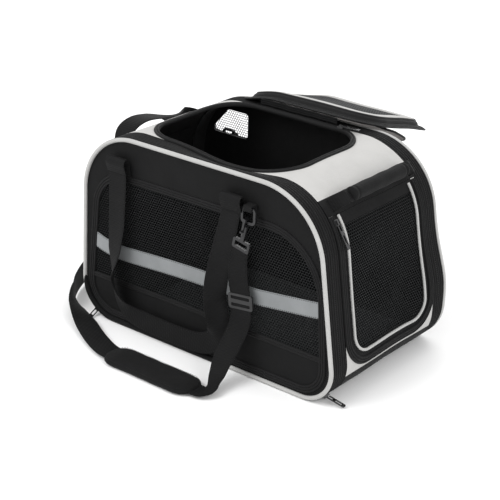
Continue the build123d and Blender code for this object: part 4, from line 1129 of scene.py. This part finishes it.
def make_lid(S, look):
    """Lid folded open: hinge strip, ridged border, grey frame, net and the shade flap under it."""
    centre = np.array((0.0, 0.1027))
    angles = np.linspace(-math.pi, math.pi, 300, endpoint=False)
    ring = lambda inset: spokes(dense(lid_line(inset)), centre, angles)

    insets = np.linspace(0.0, 0.022, 26)
    height = 0.012 * ease((insets - 0.008) / 0.014)
    height = height + 0.0011 * np.abs(np.sin(insets / 0.0044 * math.pi))
    rows_ = [np.concatenate([ring(i), np.full((300, 1), h)], 1) for i, h in zip(insets, height)]
    grid = np.array(rows_)
    border = slab("lid_border", lid_place(grid[..., 0], grid[..., 1], grid[..., 2]), 0.0020, FINISH["zip"],
                  around=True, lining=FINISH["lining"], outward=LID_Z)
    install(border, "lid", "zip_tape", "lid_border")

    insets = np.linspace(0.0215, 0.042, 10)
    t = (insets - 0.0215) / 0.0205
    rows_ = [np.concatenate([ring(i), np.full((300, 1), 0.0122 + 0.0016 * math.sin(math.pi * k))], 1)
             for i, k in zip(insets, t)]
    grid = np.array(rows_)
    grey = slab("lid_frame", lid_place(grid[..., 0], grid[..., 1], grid[..., 2]), 0.0022, FINISH["grey"],
                around=True, lining=FINISH["grey"], outward=LID_Z)
    install(grey, "lid", "grey_fabric", "lid_frame")
    install(net("lid_net", ring(0.0415), lambda p: lid_place(p[:, 0], p[:, 1], 0.0112 + p[:, 2]), look),
            "lid", "black_mesh", "lid_net")
    for name, inset, w in (("lid_frame_stitches", 0.0235, 0.0126), ("lid_net_stitches", 0.0402, 0.0126)):
        loop = ring(inset)
        line = lid_place(loop[:, 0], loop[:, 1], w)
        install(row(name, [line], [np.broadcast_to(LID_Z, line.shape)], look.stitch_pitch,
                    STITCH, FINISH["pale_stitch"], closed=True), "lid", "black_binding")
    loop = ring(0.0045)
    line = lid_place(loop[:, 0], loop[:, 1], 0.0016)
    install(row("lid_zip_teeth", [line], [np.broadcast_to(LID_Z, line.shape)], look.tooth_pitch,
                (0.0019, 0.0028, 0.0016), FINISH["teeth"], closed=True), "lid", "black_plastic")

    x = np.linspace(-0.0955, 0.0515, 60)
    wave = 0.0006 * np.sin(x * 210) + 0.0005 * np.sin(x * 83 + 1)
    path = np.stack([x, 0.110 + wave, np.full(60, 0.3223)], 1)
    strip = swept("lid_strip", path, np.broadcast_to((0, 0, 1.0), path.shape),
                  np.broadcast_to((0, -1.0, 0), path.shape), cords_profile(0.0095, 0.0008, 3, 0.0007),
                  FINISH["black"])
    install(strip, "lid_hinge_strip", "black_fabric", "lid_strip")

    drop = math.radians(17.0)
    t = np.linspace(0.0, 0.108, 30)
    half = 0.1056 - 0.030 * (1 - np.sqrt(1 - np.clip((t - 0.078) / 0.030, 0, 1) ** 2))
    c = np.linspace(-1, 1, 50)
    flare = 0.026 * ease((t - 0.022) / 0.03)
    u = np.where(c > 0, (half + flare)[:, None] * c[None, :], half[:, None] * c[None, :])
    tt = np.broadcast_to(t[:, None], u.shape)
    sag = 0.0018 * np.sin(u * 40 + tt * 22) * ease(tt / 0.05)
    v = 0.0294 + tt * math.cos(drop) + sag * math.sin(drop)
    w = 0.0066 - tt * math.sin(drop) + sag * math.cos(drop)
    grid = lid_place(u, v, w)
    # The flap's cloth carries painted shade: its light grey is darkened for the shadow under the lid.
    flap = slab("shade_flap", grid, 0.0014, FINISH["shade"], outward=LID_Z)
    install(flap, "shade", "grey_fabric", "shade_flap")
    edge = np.vstack([grid[:, 0], grid[-1, 1:-1], grid[::-1, -1]])
    keep = np.concatenate([[True], np.linalg.norm(np.diff(edge, axis=0), axis=1) > 0.0005])
    edge = edge[keep]
    tangent = unit(np.gradient(edge, axis=0))
    up = unit(np.cross(np.cross(tangent, LID_Z), tangent))
    ring_ = swept("shade_binding", edge, np.cross(tangent, up), up, circle(0.0019, 8), FINISH["binding"])
    install(ring_, "shade", "black_binding", "shade_binding")


def make_handles(S, look):
    """Carry handles, their anchors and the padded grab handle."""
    stops = [((-0.160, 0.1500, 0.268), (1, 0, 0)), ((-0.161, 0.1502, 0.235), (1, 0, 0)),
             ((-0.163, 0.1510, 0.175), (1, 0.08, 0)), ((-0.167, 0.1530, 0.130), (0.95, 0.3, 0)),
             ((-0.170, 0.1580, 0.090), (0.6, 0.8, 0)), ((-0.160, 0.1560, 0.052), (0.8, 0.5, 0.3)),
             ((-0.140, 0.1510, 0.030), (0.6, 0.1, 0.8)), ((-0.105, 0.1495, 0.026), (0, 0, 1)),
             ((-0.045, 0.1495, 0.0245), (0, 0, 1)), ((0.008, 0.1495, 0.027), (-0.1, 0, 1)),
             ((0.036, 0.1510, 0.045), (-0.7, 0, 0.7)), ((0.044, 0.1560, 0.078), (-0.7, 0.7, 0.1)),
             ((0.036, 0.1590, 0.112), (-0.5, 0.9, 0)), ((0.037, 0.1540, 0.150), (-0.9, 0.4, 0)),
             ((0.043, 0.1510, 0.190), (-1, 0.1, 0)), ((0.055, 0.1502, 0.235), (-1, 0, 0)),
             ((0.060, 0.1500, 0.268), (-1, 0, 0))]
    for side, sign, top in (("front", -1, 0.2685), ("back", 1, 0.2215)):
        scale = (top - 0.0215) / (0.268 - 0.0215)
        mine = [((x, sign * y, 0.0215 + (z - 0.0215) * scale), (a, sign * b, c))
                for (x, y, z), (a, b, c) in stops]
        strap, line, across, up = webbing(side + "_carry_handle", mine, 0.034, 0.0022, FINISH["webbing"], 0.0009)
        install(strap, side + "_handle", "webbing", side + "_carry_handle")
        lines = [line + across * k + up * 0.0015 * j for k in (-0.0145, 0.0145) for j in (1, -1)]
        install(row(side + "_handle_stitches", lines, [up * j for k in (1, 1) for j in (1, -1)], 0.0045,
                    STRAP_STITCH, FINISH["stitch"]), side + "_handle", "webbing")
        curls = []
        for k, x in enumerate((-0.160, 0.060)):
            roll = [(0.1425, -0.022), (0.1435, -0.004), (0.1455, 0.008), (0.1500, 0.0135), (0.1555, 0.012),
                    (0.1580, 0.005), (0.1550, -0.003), (0.1530, -0.010)]
            points = [((x, sign * y, top + z), (1, 0, 0)) for y, z in roll]
            curls.append(webbing(f"{side}_curl_{k}", points, 0.037, 0.0022, FINISH["webbing"])[0])
        install(joined(side + "_handle_anchors", curls), "root", "webbing", side + "_handle_anchors")
        lines = [[(x + dx, sign * 0.1442, top - 0.014) for dx in (-0.016, 0.016)] for x in (-0.160, 0.060)]
        ups = [np.broadcast_to((0, float(sign), 0), (2, 3))] * 2
        install(row(side + "_anchor_stitches", lines, ups, 0.0032, (0.0024, 0.0008, 0.0008),
                    FINISH["stitch"]), "root", "webbing")

    centre, r = np.array((0.2015, 0, 0.2938)), 0.011
    out, side_way = np.array((0.718, 0, 0.696)), np.array((-0.696, 0, 0.718))
    y = np.linspace(-0.070, 0.070, 90)
    path = centre + np.stack([0 * y, y, 0 * y], 1)
    a = np.linspace(0, 2 * math.pi, 28, endpoint=False)
    end = np.sqrt(np.clip(1 - np.clip((np.abs(y) - 0.0645) / 0.006, 0, 1) ** 2, 0.12, 1))
    rr = r * end[:, None] * (1 - 0.02 * np.cos(a * 2)[None]) + 0.0003 * np.sin(y * 150)[:, None] * np.sin(a * 2 + 1)
    rr = rr - 0.0012 * np.exp(-((np.abs(y) - 0.060) / 0.0016) ** 2)[:, None]
    profile = np.stack([rr * np.cos(a)[None], rr * np.sin(a)[None]], -1)
    sleeve = swept("grab_handle_sleeve", path, np.broadcast_to(side_way, path.shape),
                   np.broadcast_to(out, path.shape), profile, FINISH["padding"])
    install(sleeve, "root", "padded_sleeve", "grab_handle_sleeve")
    foot = centre - out * 0.022
    stops = [((foot + out * l + (0, yy, 0)).tolist(), side_way) for yy, l in
             ((-0.0945, 0.0030), (-0.0925, 0.010), (-0.0885, 0.020), (-0.081, 0.0250), (-0.073, 0.0235),
              (-0.066, 0.022), (-0.03, 0.022), (0.03, 0.022), (0.066, 0.022), (0.073, 0.0235),
              (0.081, 0.0250), (0.0885, 0.020), (0.0925, 0.010), (0.0945, 0.0030))]
    strap, line, across, up = webbing("grab_handle_webbing", stops, 0.020, 0.0026, FINISH["webbing"])
    install(strap, "root", "webbing", "grab_handle_webbing")


def make_floor_pad():
    """The padded floor inside the bag."""
    floor_pad = pillow("floor_pad", -0.1815, 0.1843, -0.132, 0.132, 0.018, 0.0064, 0.0202)
    floor_pad.data.materials[0] = FINISH["fleece"]
    swell(floor_pad, 0.006, 0.0015)
    install(floor_pad, "root", "fleece", "floor_pad")


def swell(obj, voxel, cap):
    """Inflates a padded piece a little with a short cloth run, so that its cover pulls and puckers."""
    scene = bpy.context.scene
    with bpy.context.temp_override(active_object=obj, object=obj, selected_objects=[obj]):
        remesh = obj.modifiers.new("Remesh", "REMESH")
        remesh.mode, remesh.voxel_size = "VOXEL", voxel
        bpy.ops.object.modifier_apply(modifier=remesh.name)
    start = np.zeros(len(obj.data.vertices) * 3)
    obj.data.vertices.foreach_get("co", start)
    cloth = obj.modifiers.new("Cloth", "CLOTH")
    cloth.settings.use_pressure = True
    cloth.settings.uniform_pressure_force = 4.0
    cloth.settings.effector_weights.gravity = 0.0
    for f in range(1, 21):
        scene.frame_set(f)
    depsgraph = bpy.context.evaluated_depsgraph_get()
    made = obj.evaluated_get(depsgraph).to_mesh()
    end = np.zeros(len(made.vertices) * 3)
    made.vertices.foreach_get("co", end)
    obj.evaluated_get(depsgraph).to_mesh_clear()
    obj.modifiers.remove(cloth)
    scene.frame_set(1)
    move = (end - start).reshape(-1, 3)
    size = np.linalg.norm(move, axis=1, keepdims=True)
    move *= np.minimum(1, cap / np.maximum(size, 1e-9))
    obj.data.vertices.foreach_set("co", (start.reshape(-1, 3) + move).ravel())
    obj.data.update()
    with bpy.context.temp_override(active_object=obj, object=obj, selected_objects=[obj]):
        sub = obj.modifiers.new("Subdivision", "SUBSURF")
        sub.levels = sub.render_levels = 1
        bpy.ops.object.modifier_apply(modifier=sub.name)
    obj.data.polygons.foreach_set("use_smooth", np.ones(len(obj.data.polygons), bool))


def finish_hardware():
    """Better finishes on the frame's own rings, hooks, sliders and boards."""
    wanted = {"metal": ("front_d_ring", "back_d_ring", "front_snap_hook", "back_snap_hook",
                        "front_hook_bolt", "back_hook_bolt", "front_swivel_eye", "back_swivel_eye"),
              "bright": ("end_door_slider", "lid_slider", "front_left_slider", "front_right_slider",
                         "end_door_pull", "lid_pull", "front_left_pull", "front_right_pull"),
              "plastic": ("strap_glide",), "webbing_plain": ("front_ring_tab", "back_ring_tab"),
              "board": ("base_board",)}
    for finish, names in wanted.items():
        for name in names:
            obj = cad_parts[name]
            obj.data.materials.clear()
            obj.data.materials.append(FINISH[finish])


# ------------------------------------------------------------------ operators
def shell_of(context):
    """The bag's wall in the scene's sizes."""
    return Shell(context.scene.carrier_sizes)


class CARRIER_OT_stage(bpy.types.Operator):
    """Floor, soft light and camera"""
    bl_idname = "carrier.stage"
    bl_label = "Stage"

    def execute(self, context):
        FINISH.update(make_finishes(context.scene.carrier_finish))
        FINISH["webbing_plain"] = FINISH["padding"]
        TREES.update(net=net_tree(), row=row_tree())
        make_stage(context.scene.carrier_camera)
        return {"FINISHED"}


class CARRIER_OT_strap(bpy.types.Operator):
    """Shoulder strap as one flat ribbon"""
    bl_idname = "carrier.strap"
    bl_label = "Shoulder strap"

    def execute(self, context):
        make_strap(context.scene.carrier_finish)
        return {"FINISHED"}


class CARRIER_OT_shell(bpy.types.Operator):
    """Padded cloth walls"""
    bl_idname = "carrier.shell"
    bl_label = "Shell"

    def execute(self, context):
        make_shell(shell_of(context), context.scene.carrier_finish)
        return {"FINISHED"}


class CARRIER_OT_bands(bpy.types.Operator):
    """Zip bands and edge pipings"""
    bl_idname = "carrier.bands"
    bl_label = "Zip bands"

    def execute(self, context):
        make_bands(shell_of(context), context.scene.carrier_finish)
        return {"FINISHED"}


class CARRIER_OT_windows(bpy.types.Operator):
    """Net windows, bindings and tapes"""
    bl_idname = "carrier.windows"
    bl_label = "Windows"

    def execute(self, context):
        make_windows(shell_of(context), context.scene.carrier_finish)
        return {"FINISHED"}


class CARRIER_OT_rim(bpy.types.Operator):
    """Rim of the top opening"""
    bl_idname = "carrier.rim"
    bl_label = "Opening rim"

    def execute(self, context):
        make_rim(shell_of(context), context.scene.carrier_finish)
        return {"FINISHED"}


class CARRIER_OT_door(bpy.types.Operator):
    """End door with its net and piping"""
    bl_idname = "carrier.door"
    bl_label = "End door"

    def execute(self, context):
        make_door(shell_of(context), context.scene.carrier_finish)
        return {"FINISHED"}


class CARRIER_OT_lid(bpy.types.Operator):
    """Lid, hinge strip and shade flap"""
    bl_idname = "carrier.lid"
    bl_label = "Lid"

    def execute(self, context):
        make_lid(shell_of(context), context.scene.carrier_finish)
        return {"FINISHED"}


class CARRIER_OT_handles(bpy.types.Operator):
    """Carry handles and grab handle"""
    bl_idname = "carrier.handles"
    bl_label = "Handles"

    def execute(self, context):
        make_handles(shell_of(context), context.scene.carrier_finish)
        return {"FINISHED"}


class CARRIER_OT_pads(bpy.types.Operator):
    """Padded floor"""
    bl_idname = "carrier.pads"
    bl_label = "Floor pad"

    def execute(self, context):
        make_floor_pad()
        return {"FINISHED"}


class CARRIER_OT_hardware(bpy.types.Operator):
    """Finishes of rings, hooks, sliders and boards"""
    bl_idname = "carrier.hardware"
    bl_label = "Hardware"

    def execute(self, context):
        finish_hardware()
        return {"FINISHED"}


STEPS = (CARRIER_OT_stage, CARRIER_OT_strap, CARRIER_OT_shell, CARRIER_OT_bands, CARRIER_OT_windows,
         CARRIER_OT_rim, CARRIER_OT_door, CARRIER_OT_lid, CARRIER_OT_handles, CARRIER_OT_pads,
         CARRIER_OT_hardware)


class CARRIER_PT_panel(bpy.types.Panel):
    """Lists the steps that build the bag"""
    bl_idname = "CARRIER_PT_panel"
    bl_label = "Pet carrier bag"
    bl_space_type = "VIEW_3D"
    bl_region_type = "UI"
    bl_category = "Carrier"

    def draw(self, context):
        column = self.layout.column()
        for step in STEPS:
            column.operator(step.bl_idname)
        for group in (context.scene.carrier_sizes, context.scene.carrier_finish):
            for name in group.__annotations__:
                column.prop(group, name)


GROUPS = {"carrier_sizes": CarrierSizes, "carrier_finish": CarrierFinish, "carrier_camera": CameraSettings}


def register():
    for cls in (*GROUPS.values(), *STEPS, CARRIER_PT_panel):
        bpy.utils.register_class(cls)
    for name, group in GROUPS.items():
        setattr(bpy.types.Scene, name, PointerProperty(type=group))


def unregister():
    for name in GROUPS:
        delattr(bpy.types.Scene, name)
    for cls in reversed((*GROUPS.values(), *STEPS, CARRIER_PT_panel)):
        bpy.utils.unregister_class(cls)


def main():
    register()
    for step in STEPS:
        group, name = step.bl_idname.split(".")
        if getattr(getattr(bpy.ops, group), name)() != {"FINISHED"}:
            raise RuntimeError(f"{step.bl_label} did not finish")


if __name__ == "__main__":
    main()
